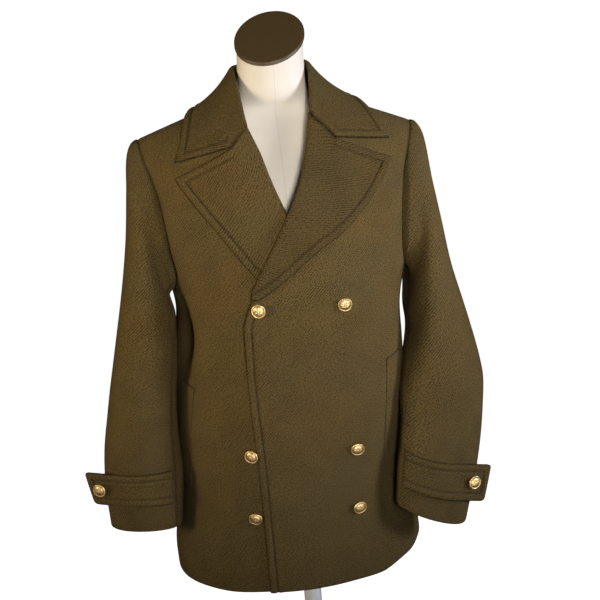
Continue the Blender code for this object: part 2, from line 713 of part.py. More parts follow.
def add_sleeve(name, side, start, end, rows=24, columns=12):
    """One of a sleeve's two lengths, between two seams, from the armhole to the open cuff."""
    low = np.linspace(0, last_station(side), rows - 8)
    station = np.concatenate([np.linspace(-1, 0, 8, endpoint=False), low])[:, None]
    turns = np.linspace(start, end, columns)[None, :]
    station, turns = np.broadcast_arrays(station, turns)
    turns = np.where(turns > np.pi, turns - 2 * np.pi, turns)
    grid = sleeve(side, station, turns)
    normals = sleeve_normal(side, station, turns)
    grid[0] = grid[0] + np.array([side * 1.0, 0.0, 0.0]) * (CLOTH / 2 + 3.4 * SEAM)
    grid = inset(grid, first_column=SEAM, last_column=SEAM)
    add(name, *wall(grid, normals, CLOTH), OLIVE)


def strap_grid(side, rows=4, columns=16):
    """A cuff strap: it follows the sleeve from the front seam, then leaves it straight to a free end."""
    at = dict(zip(STRAP_COLUMNS, STRAP[side]))
    begin, leave = STRAP_TURN[side]
    t = np.linspace(0, 1, columns)
    bend = t * (1 + STRAP_BEND * (1 - t))
    low = at["seam_low"] + (at["leave_low"] - at["seam_low"]) * bend
    high = at["seam_top"] + (at["leave_top"] - at["seam_top"]) * bend
    station = low + (high - low) * np.linspace(0, 1, rows)[:, None]
    turns = begin + (leave - begin) * t + 0 * station
    lift = CLOTH / 2 + STRAP_CLOTH / 2 + LAY
    laid = sleeve(side, station, turns) + sleeve_normal(side, station, turns) * lift
    way = laid[:, -1] - laid[:, -2]
    way = way / np.linalg.norm(way, axis=-1, keepdims=True)
    way = way.mean(0)
    way = way / np.linalg.norm(way)
    reach = STRAP_REACH[side] + STRAP_SLANT[side] * np.linspace(0, 1, rows)[:, None]
    run = np.linspace(0, 1, 6)[1:] * reach
    free = laid[:, -1:] + way * run[..., None]
    return np.concatenate([laid, free], 1)


def add_strap(name, side):
    grid = strap_grid(side)
    normals = grid_normals(grid)
    facing = np.sign(np.sum(normals * np.array([0.0, -1.0, 0.3]), -1).mean())
    add(name, *wall(grid, normals * facing, STRAP_CLOTH), OLIVE)


def add_welt(name, side, over, rows=8, columns=5):
    """A pocket's upright welt, made from its front's points moved out."""
    size = dict(zip(WELT_COLUMNS, WELT[side]))
    along = np.linspace(0, 1, rows)[:, None]
    across = np.linspace(0, 1, columns)[None, :]
    turn = size["low_turn"] + (size["top_turn"] - size["low_turn"]) * along + side * WELT_TURN * across
    turn = np.radians(turn)
    height = size["low_height"] + (size["top_height"] - size["low_height"]) * along + 0.004 * across
    x = body_size("centre", height) + body_size("half_width", height) * np.sin(turn)
    turn, v = place(x, height)
    lift = CLOTH / 2 + WELT_CLOTH / 2 + LAY + (over_lift(x, height) if over else 0.0 * x)
    add(name, *wall(body(turn, v, lift), body_normal(turn, v), WELT_CLOTH), OLIVE)


def lathe(profile, segments, centre, axis, side_way):
    """A solid turned round an axis, from a profile of radius and height that starts and ends on it."""
    axis = axis / np.linalg.norm(axis)
    first = np.cross(side_way, axis)
    first = first / np.linalg.norm(first)
    second = np.cross(axis, first)
    angle = np.linspace(0, 2 * np.pi, segments, endpoint=False)
    circle = np.cos(angle)[:, None] * first + np.sin(angle)[:, None] * second
    rings = [centre + axis * height + radius * circle for radius, height in profile[1:-1]]
    ends = [[centre + axis * profile[k][1]] for k in (0, -1)]
    points = np.concatenate([ends[0], *rings, ends[1]])
    k = np.arange(segments)
    ahead = (k + 1) % segments
    faces = [(0, 1 + b, 1 + a) for a, b in zip(k, ahead)]
    for ring in range(len(rings) - 1):
        base, up = 1 + ring * segments, 1 + (ring + 1) * segments
        faces += [(base + a, base + b, up + b, up + a) for a, b in zip(k, ahead)]
    base = 1 + (len(rings) - 1) * segments
    faces += [(base + a, base + b, len(points) - 1) for a, b in zip(k, ahead)]
    return points, faces


def add_button(name, seat, normal):
    up = np.array([0.0, 0.3, 1.0])
    add(name, *lathe(BUTTON_PROFILE, 14, seat, normal, up), GOLD, 0.3, 1.0)


def add_buttons():
    """Two columns of three on the fronts and one on each strap, their shanks just clear of the cloth."""
    for number, row in enumerate(BUTTONS, 1):
        at = dict(zip(BUTTON_COLUMNS, row))
        x, height = np.array(at["x"]), np.array(at["height"])
        turn, v = place(x, height)
        lift = CLOTH / 2 + SEAM - at["sink"] + (over_lift(x, height) if at["over"] else 0.0)
        add_button(f"button_{number}", body(turn, v, lift), body_normal(turn, v))
    for side, name in ((-1, "cuff_button_right"), (1, "cuff_button_left")):
        grid = strap_grid(side)
        normals = grid_normals(grid)
        normals = normals * np.sign(np.sum(normals * np.array([0.0, -1.0, 0.3]), -1).mean())
        line = (grid[1] + grid[2]) / 2
        length = np.concatenate([[0], np.cumsum(np.linalg.norm(np.diff(line, axis=0), axis=1))])
        at = length[-1] - STRAP_BUTTON[side]
        seat = np.array([np.interp(at, length, line[:, k]) for k in range(3)])
        normal = normals[1, np.searchsorted(length, at)]
        add_button(name, seat + normal * (STRAP_CLOTH / 2 + SEAM), normal)


def ring_solid(rings):
    """Points and faces of a solid of stacked rings, closed flat at both ends."""
    count, segments = len(rings), len(rings[0])
    points = np.concatenate(rings)
    k = np.arange(segments)
    ahead = (k + 1) % segments
    faces = []
    for ring in range(count - 1):
        base, up = ring * segments, (ring + 1) * segments
        faces += [(base + a, base + b, up + b, up + a) for a, b in zip(k, ahead)]
    faces.append(tuple(range(segments))[::-1])
    faces.append(tuple((count - 1) * segments + k))
    return points, faces


def tilted(radius, rise, angle):
    """A ring of the neck's slanted end."""
    x = CAP_CENTRE[0] + radius * np.cos(angle)
    y = CAP_CENTRE[1] + radius * np.sin(angle)
    z = CAP_CENTRE[2] + rise + CAP_TILT[0] * (x - CAP_CENTRE[0]) + CAP_TILT[1] * (y - CAP_CENTRE[1])
    return np.stack([x, y, z], -1)


def add_form(segments=32):
    """The body with its neck cut off at a slant, a cap on the neck, and a pole on a round base."""
    angle = np.linspace(0, 2 * np.pi, segments, endpoint=False)
    at = table(FORM, FORM_COLUMNS)
    rings = []
    for k, height in enumerate(at["height"]):
        depth = np.where(np.sin(angle) < 0, at["front"][k], at["back"][k])
        x = at["half_width"][k] * np.cos(angle)
        rings.append(np.stack([x, depth * np.sin(angle), height + 0 * angle], -1))
    rings.append(tilted(NECK_RADIUS, -SEAM, angle))
    add("form_body", *ring_solid(rings), CREAM, 0.6)
    cap = [tilted(CAP_RADIUS - 0.0008, 0.0, angle), tilted(CAP_RADIUS, 0.0010, angle)]
    cap += [tilted(CAP_RADIUS, CAP_THICK - 0.001, angle), tilted(CAP_RADIUS - 0.001, CAP_THICK, angle)]
    add("form_cap", *ring_solid(cap), BROWN, 0.5)
    up, way = np.array([0.0, 0.0, 1.0]), np.array([0.0, 1.0, 0.0])
    floor = np.array([0.0, 0.0, -HEM_Z])
    low, high = BASE_THICK + SEAM, FORM[0][0] + HEM_Z - SEAM
    pole = ((0.0, low), (POLE_RADIUS, low), (POLE_RADIUS, high), (0.0, high))
    add("form_pole", *lathe(pole, 24, floor, up, way), GREY, 0.35, 1.0)
    base = (
        (0.0, 0.0),
        (BASE_RADIUS, 0.0),
        (BASE_RADIUS, BASE_THICK - 0.004),
        (BASE_RADIUS - 0.004, BASE_THICK),
        (0.0, BASE_THICK),
    )
    add("form_base", *lathe(base, 40, floor, up, way), GREY, 0.4, 1.0)


def main():
    for obj in list(bpy.data.objects):
        bpy.data.objects.remove(obj)
    add_back()
    add_front("front_left", 1, OVER_EDGE, True)
    add_front("front_right", -1, UNDER_EDGE, False)
    add_lapel("lapel_left", 1, OVER_EDGE, OVER_LAPEL, OVER_GORGE, True)
    add_lapel("lapel_right", -1, UNDER_EDGE, UNDER_LAPEL, UNDER_GORGE, False)
    add_collar()
    for side, name in ((1, "left"), (-1, "right")):
        add_sleeve("sleeve_upper_" + name, side, SEAM_BACK[side], SEAM_FRONT[side], 24, 12)
        add_sleeve("sleeve_under_" + name, side, SEAM_FRONT[side], SEAM_BACK[side] + 2 * np.pi, 24, 8)
        add_strap("cuff_strap_" + name, side)
        add_welt("pocket_welt_" + name, side, side > 0)
    add_buttons()
    add_form()


main()
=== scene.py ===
"""Finishes a double-breasted coat on its dress form: cloth, sewing, creases, gilt buttons and form.

The front faces -Y, the wearer's left is +X and +Z is up. Tables give the coat's heights above its hem.
"""

import bpy
import numpy as np
from bpy.props import FloatProperty, FloatVectorProperty, PointerProperty
from mathutils import Matrix


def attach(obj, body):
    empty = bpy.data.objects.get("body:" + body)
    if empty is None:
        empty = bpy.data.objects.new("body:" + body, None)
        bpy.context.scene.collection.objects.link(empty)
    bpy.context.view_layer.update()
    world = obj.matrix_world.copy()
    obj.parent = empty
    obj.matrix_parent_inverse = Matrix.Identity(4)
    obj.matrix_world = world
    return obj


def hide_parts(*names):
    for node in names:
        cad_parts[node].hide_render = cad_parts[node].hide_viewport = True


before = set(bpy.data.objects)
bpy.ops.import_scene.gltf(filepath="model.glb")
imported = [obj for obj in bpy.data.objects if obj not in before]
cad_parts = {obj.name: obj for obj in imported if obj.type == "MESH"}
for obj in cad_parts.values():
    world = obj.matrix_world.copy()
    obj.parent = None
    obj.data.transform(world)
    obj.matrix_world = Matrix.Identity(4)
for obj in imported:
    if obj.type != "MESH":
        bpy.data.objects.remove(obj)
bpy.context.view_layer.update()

bl_info = {
    "name": "Double-breasted coat",
    "version": (1, 0, 0),
    "blender": (4, 5, 0),
    "location": "View3D > Sidebar > Coat",
    "description": "Makes the cloth, sewing, buttons and dress form of a double-breasted coat",
    "category": "Object",
}

HEM_Z = 0.260
# Clearances under a cloth that lies on another, and at buttons, neck and pole.
LAY = 0.0009
GAP = 0.0004
UP = np.array([0.0, 0.0, 1.0])
SIDES = ((1, "left"), (-1, "right"))

NECK_POINT = (0.070, 0.765)
SHOULDER_SLOPE = {-1: 0.335, 1: 0.410}
SHOULDER_SOFT = 0.012
DOME = 0.300
SHOULDER_RUN = 0.110
CHEST_FLATNESS = 0.80
ARMPIT = 0.480

# First guesses, limits and rounds of the searches for a point of the body.
FIRST_HALF = 0.18
ROUNDS = 12
EDGE_ROUNDS = 40
DRAPE_ROUNDS = 30
DRAPE_START = 0.01
DRAPE_MOST = 0.98

# A ramp is where it starts and how far it runs.
HEM_RISE = 0.020
HEM_RISE_SIDE = (0.100, 0.080)
HOLLOW_DEPTH = 0.0050
HOLLOW_WIDTH = 0.010
HOLLOW_LOW = (0.488, 0.04)
HOLLOW_TOP = (0.630, 0.06)

# The back's neck curve, and the body's half width and depth there.
BACK_NECK = 0.058
NECK_EASE = 0.002
TOP_HALF = 0.22
TOP_DEPTH = 0.152

BODY_COLUMNS = ("height", "half_width", "front", "back", "centre")
BODY = (
    (0.000, 0.2045, 0.153, 0.143, -0.0165),
    (0.040, 0.2035, 0.153, 0.143, -0.0175),
    (0.080, 0.1945, 0.152, 0.142, -0.0185),
    (0.120, 0.1850, 0.151, 0.141, -0.0190),
    (0.180, 0.1815, 0.150, 0.139, -0.0185),
    (0.240, 0.1835, 0.149, 0.136, -0.0150),
    (0.310, 0.1840, 0.147, 0.130, -0.0090),
    (0.370, 0.1805, 0.146, 0.125, -0.0040),
    (0.430, 0.1780, 0.147, 0.123, 0.0005),
    (0.490, 0.1865, 0.148, 0.125, 0.0020),
    (0.560, 0.2000, 0.146, 0.128, 0.0020),
    (0.620, 0.2100, 0.142, 0.132, 0.0010),
    (0.680, 0.2180, 0.140, 0.140, 0.0000),
    (0.730, 0.2230, 0.140, 0.150, 0.0000),
    (0.780, 0.2260, 0.140, 0.155, 0.0000),
)

FOLD_COLUMNS = ("turn", "along", "half_turn", "half_along", "slant", "depth")
BODY_FOLDS = (
    (-74, 0.396, 10, 0.046, 0, -0.0110),
    (-93, 0.330, 9, 0.080, 30, 0.0040),
    (84, 0.420, 9, 0.060, 0, -0.0030),
    (-36, 0.040, 11, 0.130, -20, 0.0035),
    (24, 0.020, 14, 0.110, 25, -0.0030),
    (58, 0.060, 9, 0.120, 10, 0.0045),
    (112, 0.070, 10, 0.150, 0, -0.0060),
    (150, 0.110, 9, 0.190, -12, 0.0060),
    (171, 0.300, 12, 0.090, 20, -0.0040),
    (-168, 0.090, 8, 0.160, 14, -0.0060),
    (-140, 0.140, 10, 0.200, 0, 0.0055),
    (-112, 0.060, 9, 0.130, 0, -0.0050),
)
BODY_CREASES = (
    (25, 0.267, 6.0, 0.075, -220, 0.0017),
    (13, 0.215, 5.0, 0.050, -160, -0.0012),
    (2, 0.461, 13.0, 0.010, 0, -0.0008),
    (6, 0.488, 10.0, 0.012, 30, 0.0007),
    (40, 0.455, 7.0, 0.030, -260, -0.0012),
    (-20, 0.330, 3.6, 0.085, 20, 0.0010),
    (-17, 0.140, 4.2, 0.065, -25, -0.0011),
    (-52, 0.505, 5.0, 0.060, 80, -0.0016),
    (-46, 0.110, 6.5, 0.050, -170, -0.0019),
    (-57, 0.255, 4.5, 0.055, 70, 0.0012),
    (44, 0.120, 5.0, 0.060, 120, -0.0014),
    (96, 0.285, 8.0, 0.060, 0, 0.0050),
    (-101, 0.235, 5.5, 0.045, -90, -0.0016),
    (104, 0.160, 6.0, 0.070, 0, 0.0020),
    (165, 0.600, 9.0, 0.045, 130, -0.0015),
    (-160, 0.560, 8.0, 0.050, -150, -0.0018),
    (178, 0.410, 5.5, 0.080, 0, 0.0016),
    (138, 0.360, 7.0, 0.040, -230, -0.0021),
    (-150, 0.340, 6.0, 0.055, 190, -0.0017),
    (-124, 0.430, 6.0, 0.045, -120, -0.0019),
    (-71, 0.468, 7.0, 0.050, 0, -0.0070),
    (-98, 0.405, 9.0, 0.045, 0, 0.0050),
    (74, 0.462, 7.0, 0.050, 0, -0.0040),
    (98, 0.420, 8.0, 0.045, 0, 0.0040),
    (-78, 0.410, 8.0, 0.045, 0, -0.0060),
)

ARMHOLE_COLUMNS = ("height", "front_right", "front_left", "back")
ARMHOLE = (
    (0.480, 1.000, 1.000, 1.000),
    (0.488, 0.985, 0.985, 0.988),
    (0.510, 0.955, 0.945, 0.960),
    (0.550, 0.938, 0.905, 0.925),
    (0.610, 0.914, 0.890, 0.900),
    (0.660, 0.914, 0.905, 0.905),
    (0.700, 0.940, 0.940, 0.935),
    (0.730, 0.952, 0.952, 0.952),
)

EDGE_COLUMNS = ("height", "x")
OVER_EDGE = (
    (0.000, -0.080),
    (0.200, -0.081),
    (0.400, -0.082),
    (0.462, -0.077),
    (0.492, -0.0645),
    (0.535, -0.042),
    (0.600, -0.004),
    (0.650, 0.0225),
    (0.692, 0.037),
    (0.735, 0.0485),
    (0.754, 0.055),
    (0.766, 0.071),
)
UNDER_EDGE = (
    (0.000, 0.072),
    (0.200, 0.073),
    (0.400, 0.075),
    (0.450, 0.070),
    (0.500, 0.052),
    (0.555, 0.024),
    (0.600, -0.003),
    (0.630, -0.0155),
    (0.663, -0.0268),
    (0.695, -0.0362),
    (0.732, -0.0505),
    (0.752, -0.0565),
    (0.766, -0.071),
)

LAPEL_COLUMNS = ("x", "height")
OVER_LAPEL = (
    (-0.056, 0.490),
    (-0.025, 0.510),
    (0.033, 0.552),
    (0.072, 0.574),
    (0.117, 0.609),
    (0.148, 0.641),
    (0.165, 0.666),
)
UNDER_LAPEL = (
    (0.062, 0.447),
    (0.000, 0.466),
    (-0.058, 0.523),
    (-0.104, 0.585),
    (-0.130, 0.621),
    (-0.147, 0.645),
    (-0.160, 0.666),
)
OVER_GORGE = {"height": 0.742, "notch": (0.080, 0.705)}
UNDER_GORGE = {"height": 0.732, "notch": (-0.074, 0.705)}
ROLL_COLUMNS = ("out", "rise")
ROLL = ((0.0019, -0.0002), (0.0030, 0.0016), (0.0024, 0.0034), (0.0006, 0.0046))
# Share of painted shade over each whole lapel and the collar, for their fold shading and the duller sheen of
# their reversed nap.
LAPEL_PAINTED_SHADE = {-1: 0.14, 1: 0.48}
COLLAR_PAINTED_SHADE = 0.34
ROLL_LIFT = 0.0048
OVERLAP_LIFT = 0.0034
TAIL_LIFT = 0.0052
OVERLAP_SIDE = (0.078, 0.070)
OVERLAP_TOP = (0.630, 0.090)
TAIL_SIDE = (0.066, 0.080)
TAIL_LOW = (0.310, 0.130)
TAIL_TOP = (0.630, 0.100)
ROLL_STEPS = 13
ROLL_START = 0.003
GORGE_BEND = (0.72, 0.28)
LAPEL_FOOT = 0.0006
LAPEL_TIP = 0.0007
LAPEL_NARROW = 0.05
# Depth, pace and start of each wave of a lapel's edge.
LAPEL_WAVES = ((0.0007, 9.0, 0.6), (0.0004, 21.0, 0.0))
STITCHED_BELOW = 0.482
FRONT_SEWING = (0.004, 0.470)

COLLAR_COLUMNS = ("fold_x", "fold_y", "fold_z", "foot_x", "foot_y", "foot_z", "edge_x", "edge_y")
COLLAR = (
    (0.000, 0.067, 0.806, 0.000, 0.060, 0.770, 0.000, 0.098),
    (0.034, 0.057, 0.808, 0.038, 0.051, 0.772, 0.066, 0.090),
    (0.055, 0.026, 0.811, 0.060, 0.022, 0.776, 0.108, 0.050),
    (0.057, -0.010, 0.805, 0.061, -0.013, 0.775, 0.127, 0.012),
    (0.053, -0.042, 0.782, 0.0545, -0.0430, 0.766, 0.143, -0.020),
    (0.0455, -0.0665, 0.7465, 0.0445, -0.0635, 0.7435, 0.161, -0.045),
)
COLLAR_END = {-1: (-0.0026, -0.0075, -0.0098), 1: (0.003, 0.0005, 0.0004)}
COLLAR_EASE = 0.0031
COLLAR_NOTCH = {-1: (-0.0742, 0.7062), 1: (0.0802, 0.7062)}
COLLAR_POINT = {-1: (-0.156, 0.687), 1: (0.165, 0.691)}
COLLAR_CUT = 0.34
COLLAR_ROOT = 0.0012
COLLAR_DROP = (3.4, 1.6)
COLLAR_LAY = (3.0, 2.0)
CLEAR_SIDE = (0.070, 0.010)
CLEAR_BACK = (0.056, 0.012)
STAND_STEPS = 19
# Where the cloth goes round the collar's fold, and how it leaves it.
FOLD_INNER = 0.0012
FOLD_DEEP = 0.004
FOLD_OUTER = 0.0042
FOLD_DROP = 0.0022
FALL_OUT = 0.56
FALL_DOWN = 0.83
FALL_START = 0.9

SLEEVE_COLUMNS = ("out_x", "out_y", "out_z", "in_x", "in_y", "in_z", "half_depth", "lean")
SLEEVE_RIGHT = (
    (0.236, 0.000, 0.642, 0.1896, 0.000, 0.462, 0.068, 0.00),
    (0.246, -0.005, 0.565, 0.1862, -0.010, 0.437, 0.070, 0.00),
    (0.261, -0.010, 0.486, 0.1850, -0.018, 0.404, 0.070, 0.00),
    (0.281, -0.020, 0.400, 0.1905, -0.028, 0.358, 0.068, 0.00),
    (0.301, -0.030, 0.316, 0.1975, -0.038, 0.298, 0.062, 0.00),
    (0.317, -0.040, 0.240, 0.2015, -0.050, 0.237, 0.054, 0.00),
    (0.323, -0.048, 0.174, 0.2045, -0.062, 0.176, 0.045, 0.00),
    (0.322, -0.052, 0.107, 0.2090, -0.072, 0.107, 0.035, 0.00),
)
SLEEVE_LEFT = (
    (0.237, 0.000, 0.617, 0.1905, 0.000, 0.452, 0.068, 0.00),
    (0.250, -0.005, 0.548, 0.1875, -0.013, 0.412, 0.070, 0.06),
    (0.263, -0.012, 0.474, 0.1840, -0.027, 0.368, 0.070, 0.14),
    (0.282, -0.025, 0.391, 0.1780, -0.047, 0.324, 0.066, 0.24),
    (0.297, -0.040, 0.315, 0.1695, -0.068, 0.285, 0.060, 0.32),
    (0.299, -0.052, 0.272, 0.1620, -0.081, 0.252, 0.055, 0.36),
    (0.288, -0.076, 0.213, 0.1535, -0.094, 0.216, 0.048, 0.38),
    (0.271, -0.100, 0.149, 0.1455, -0.105, 0.175, 0.042, 0.40),
    (0.246, -0.122, 0.071, 0.1385, -0.116, 0.121, 0.034, 0.40),
)
SLEEVE = {-1: SLEEVE_RIGHT, 1: SLEEVE_LEFT}
SLEEVE_FOLDS = {
    -1: (
        (150, 1.5, 40, 0.50, 0, -0.0050),
        (100, 3.2, 34, 0.34, 30, -0.0035),
        (60, 4.3, 40, 0.42, -24, -0.0030),
        (-90, 3.6, 40, 0.40, 20, -0.0050),
        (-60, 4.7, 34, 0.36, -20, -0.0045),
    ),
    1: (
        (140, 1.8, 40, 0.55, 0, -0.0040),
        (120, 4.4, 36, 0.50, 26, -0.0050),
        (80, 5.4, 44, 0.44, -20, -0.0035),
        (-80, 4.0, 40, 0.50, 24, -0.0055),
        (-60, 5.6, 36, 0.44, -20, -0.0045),
    ),
}
SLEEVE_CREASES = {
    -1: (
        (44, -0.45, 13, 0.30, 0, -0.0012),
        (98, -0.35, 12, 0.30, 0, -0.0014),
        (-62, -0.40, 14, 0.32, 0, -0.0014),
        (72, 2.3, 20, 0.16, 20, -0.0015),
        (122, 2.8, 26, 0.13, -30, -0.0018),
        (96, 3.8, 30, 0.15, 25, -0.0014),
        (132, 4.5, 20, 0.13, 40, -0.0014),
        (48, 4.9, 26, 0.14, -20, -0.0012),
        (-72, 3.0, 30, 0.15, 20, -0.0020),
        (-96, 3.9, 26, 0.16, -25, -0.0022),
        (-58, 4.4, 30, 0.13, 15, -0.0018),
        (178, 1.2, 34, 0.60, 0, 0.0040),
        (170, 5.8, 30, 0.90, 0, 0.0050),
    ),
    1: (
        (38, -0.45, 13, 0.30, 0, -0.0012),
        (92, -0.35, 12, 0.30, 0, -0.0013),
        (-66, -0.40, 14, 0.32, 0, -0.0014),
        (104, 3.5, 26, 0.18, -25, -0.0016),
        (70, 4.2, 30, 0.16, 20, -0.0015),
        (128, 5.0, 28, 0.16, 35, -0.0021),
        (58, 5.6, 28, 0.16, -22, -0.0016),
        (112, 6.1, 24, 0.13, 20, -0.0013),
        (-76, 3.4, 30, 0.16, 20, -0.0019),
        (-100, 4.6, 26, 0.17, -25, -0.0023),
        (-56, 5.2, 30, 0.14, 15, -0.0017),
        (178, 1.0, 34, 0.50, 0, 0.0040),
        (172, 2.6, 30, 0.90, 0, 0.0060),
        (168, 3.9, 30, 1.10, 0, 0.0085),
    ),
}
CAP_REACH = 0.85
SLEEVE_RADIUS = 0.062
SLEEVE_FLATNESS = 0.78
RING_STEP = 0.02
# The tuck at the armhole seam: its ramps round the sleeve, then least values and what the front adds.
TUCK_START = (0.45, 1.0)
TUCK_END = (2.5, 0.5)
TUCK_RUN = (0.045, 0.10)
TUCK_DEPTH = (0.0018, 0.0070)
TUCK_SHIFT = (0.0016, 0.0030)
SEAM_FRONT = {-1: np.radians(146), 1: np.radians(162)}
SEAM_BACK = {-1: np.radians(-78), 1: np.radians(-78)}

STRAP_COLUMNS = ("seam_top", "seam_low", "leave_top", "leave_low")
STRAP = {-1: (5.48, 6.36, 5.46, 6.30), 1: (6.16, 7.37, 6.66, 7.50)}
STRAP_BEND = 0.6
STRAP_CORNER = 0.0065
STRAP_REACH = {-1: 0.050, 1: 0.0565}
STRAP_BUTTON = {-1: 0.0215, 1: 0.0300}
STRAP_SLANT = {-1: 0.014, 1: 0.003}
STRAP_FACING = np.array([0.0, -1.0, 0.3])
STRAP_TURN = {-1: (np.radians(140), np.radians(58)), 1: (np.radians(140), np.radians(52))}

WELT_COLUMNS = ("top_turn", "top_height", "low_turn", "low_height")
WELT = {-1: (-59.8, 0.337, -67.0, 0.160), 1: (49.8, 0.358, 49.0, 0.182)}
WELT_TURN = 16.0
WELT_SLANT = 0.004
WELT_LIFT = 0.55
# Width of the band at a welt's top where its painted shadow line is at full strength; lower down it is a
# quarter.
WELT_SHADE_WIDTH = 0.010

BUTTON_COLUMNS = ("x", "height", "over", "droop", "yaw")
BUTTONS = (
    (-0.0567, 0.476, 1, 3, -4),
    (-0.088, 0.238, 0, 9, -9),
    (-0.091, 0.133, 0, 17, -4),
    (0.067, 0.472, 1, 8, -15),
    (0.0735, 0.230, 1, 11, -17),
    (0.071, 0.1285, 1, 13, -8),
)
BUTTON_PROFILE = (
    (0.0000, 0.0000),
    (0.0030, 0.0000),
    (0.0030, 0.0040),
    (0.0060, 0.0038),
    (0.0096, 0.0041),
    (0.0108, 0.0049),
    (0.0110, 0.0056),
    (0.0107, 0.0065),
    (0.0099, 0.0070),
    (0.0092, 0.0068),
    (0.0086, 0.0069),
    (0.0060, 0.0079),
    (0.0030, 0.0085),
    (0.0000, 0.0087),
)

BUTTON_SEGMENTS = 112
BUTTON_UP = np.array([0.0, 0.3, 1.0])
CUFF_DROOP = 4
CUFF_YAW = 3
FACE_HEIGHT = 0.0060
RELIEF_DEPTH = 0.0005
# Radius, width and depth of each ring of the relief.
RELIEF = {
    "petal": (0.0046, 0.0019, 0.00055),
    "boss": (0.0, 0.0015, 0.00050),
    "ring": (0.0022, 0.0005, -0.00035),
    "moat": (0.0083, 0.0007, -0.00045),
    "bead": (0.0100, 0.0007, 0.00022),
}

# The buttonhole, from the top button's place.
HOLE_START = (0.004, 0.0005)
HOLE_LENGTH = 0.019
HOLE_HALF = 0.0014
HOLE_FAN = np.array([0.0012, 0.0019])
HOLE_BARS = 26
HOLE_BAR = 0.0013
HOLE_LIFT = 0.0002

FORM_COLUMNS = ("height", "half_width", "front", "back")
FORM = (
    (0.030, 0.142, 0.108, 0.102),
    (0.100, 0.150, 0.114, 0.110),
    (0.200, 0.146, 0.110, 0.102),
    (0.300, 0.132, 0.102, 0.088),
    (0.380, 0.125, 0.098, 0.080),
    (0.450, 0.134, 0.106, 0.084),
    (0.520, 0.147, 0.114, 0.092),
    (0.580, 0.155, 0.110, 0.096),
    (0.640, 0.162, 0.094, 0.092),
    (0.680, 0.167, 0.074, 0.080),
    (0.702, 0.166, 0.060, 0.068),
    (0.716, 0.160, 0.051, 0.059),
    (0.727, 0.151, 0.043, 0.050),
    (0.737, 0.127, 0.037, 0.042),
    (0.747, 0.100, 0.034, 0.037),
    (0.757, 0.072, 0.035, 0.037),
    (0.767, 0.058, 0.041, 0.043),
    (0.780, 0.0530, 0.046, 0.047),
    (0.800, 0.0512, 0.0495, 0.050),
)
FORM_FOOT = (0.030, 0.004)
FORM_EDGE = 0.03
NECK_RADIUS = 0.0505
CAP_RADIUS = 0.0535
CAP_CENTRE = (0.002, -0.002, 0.850)
CAP_TILT = (0.155, 0.565)
CAP_THICK = 0.006
CAP_SOFT = 0.0012
POLE_RADIUS = 0.015
POLE_SOFT = 0.0005
POLE_FOOT = ((0.0, 0.0), (0.026, 0.0), (0.027, 0.001), (0.027, 0.008), (0.024, 0.010), (POLE_RADIUS, 0.012))
BASE_RADIUS = 0.155
BASE_THICK = 0.016
BASE_SOFT = 0.005
BASE_BEVEL = 0.001
BASE_MIDDLE = 0.05

# Distances from an edge at which a stitched, a plain and a sewn edge have lines of points.
STITCHED = (
    *(0.0, 0.0004, 0.0009, 0.0016, 0.0028, 0.0045, 0.0065, 0.0085, 0.0100, 0.0111, 0.0119, 0.0125),
    *(0.0131, 0.0139, 0.0150, 0.0168, 0.0195, 0.0230),
)
PLAIN = (0.0, 0.0004, 0.0009, 0.0016, 0.0028, 0.0050, 0.0080)
SEWN = (0.0, 0.0005, 0.0011, 0.0019, 0.0030, 0.0046, 0.0070)
FAR = 1.0
MOST_EDGE = 0.40
NEAR_LINES = 36
# Metres of cloth to one row of the body, at hem and shoulder, and of a sleeve, at head and cuff.
HEM_ROW = 0.41
SHOULDER_ROW = 0.22
HEAD_ROW = 0.16
CUFF_ROW = 0.066

# How an edge rounds off, how stitching and seams swell and sink, and how painted shade darkens stitching,
# seams and cut edges.
LIP_START = 0.05
LIP_RUN = 0.60
GROOVE_WIDTH = 0.0012
SWELL_SHARE = 0.5
SWELL_AT = 0.0045
SWELL_WIDTH = 0.0026
SEAM_WIDTH = 0.0030
SEAM_DEPTH = 0.0006
SEAM_SHADE = 0.8
EDGE_SHADE_WIDTH = 0.0014
MOST_SINK = -0.6
STITCH_COLUMNS = ("at", "wide", "dip")
STITCH = ((-1.0, 0.25, -1.0), (-0.72, 0.85, -0.2), (0.0, 1.0, 0.25), (0.72, 0.85, -0.2), (1.0, 0.25, -1.0))
STITCH_STEP = 0.001
STITCH_HALF = 0.40

# Each spot lamp's name, seat, cone in degrees and tint.
LAMPS = (
    ("key", (2.38, -1.05, 1.28), 44.0, (0.95, 1.0, 1.22)),
    ("fill", (-2.42, -0.95, 1.18), 44.0, (1.08, 0.93, 0.68)),
    ("front", (0.32, -2.50, 1.46), 35.0, (1.0, 0.99, 0.98)),
    ("back", (0.30, 2.60, 1.10), 40.0, (1.0, 0.98, 0.95)),
)
LAMP_AIM = (0.0, 0.0, 0.89)
LAMP_SOFT = 0.4
CARD_SEAT = (0.1, -1.3, 0.30)
CARD_AIM = (0.0, 0.0, 0.55)
CARD_SIZE = (1.8, 0.7)
FLOOR_FLAT = 4.5
FLOOR_BEND = 1.5
FLOOR_WALL = 9.0
FLOOR_SIDES = 96
SENSOR = 36.0
# The camera's azimuth, pan, pitch and roll in degrees.
VIEW_ANGLES = (-5.0, 0.5, 18.4, 4.5)


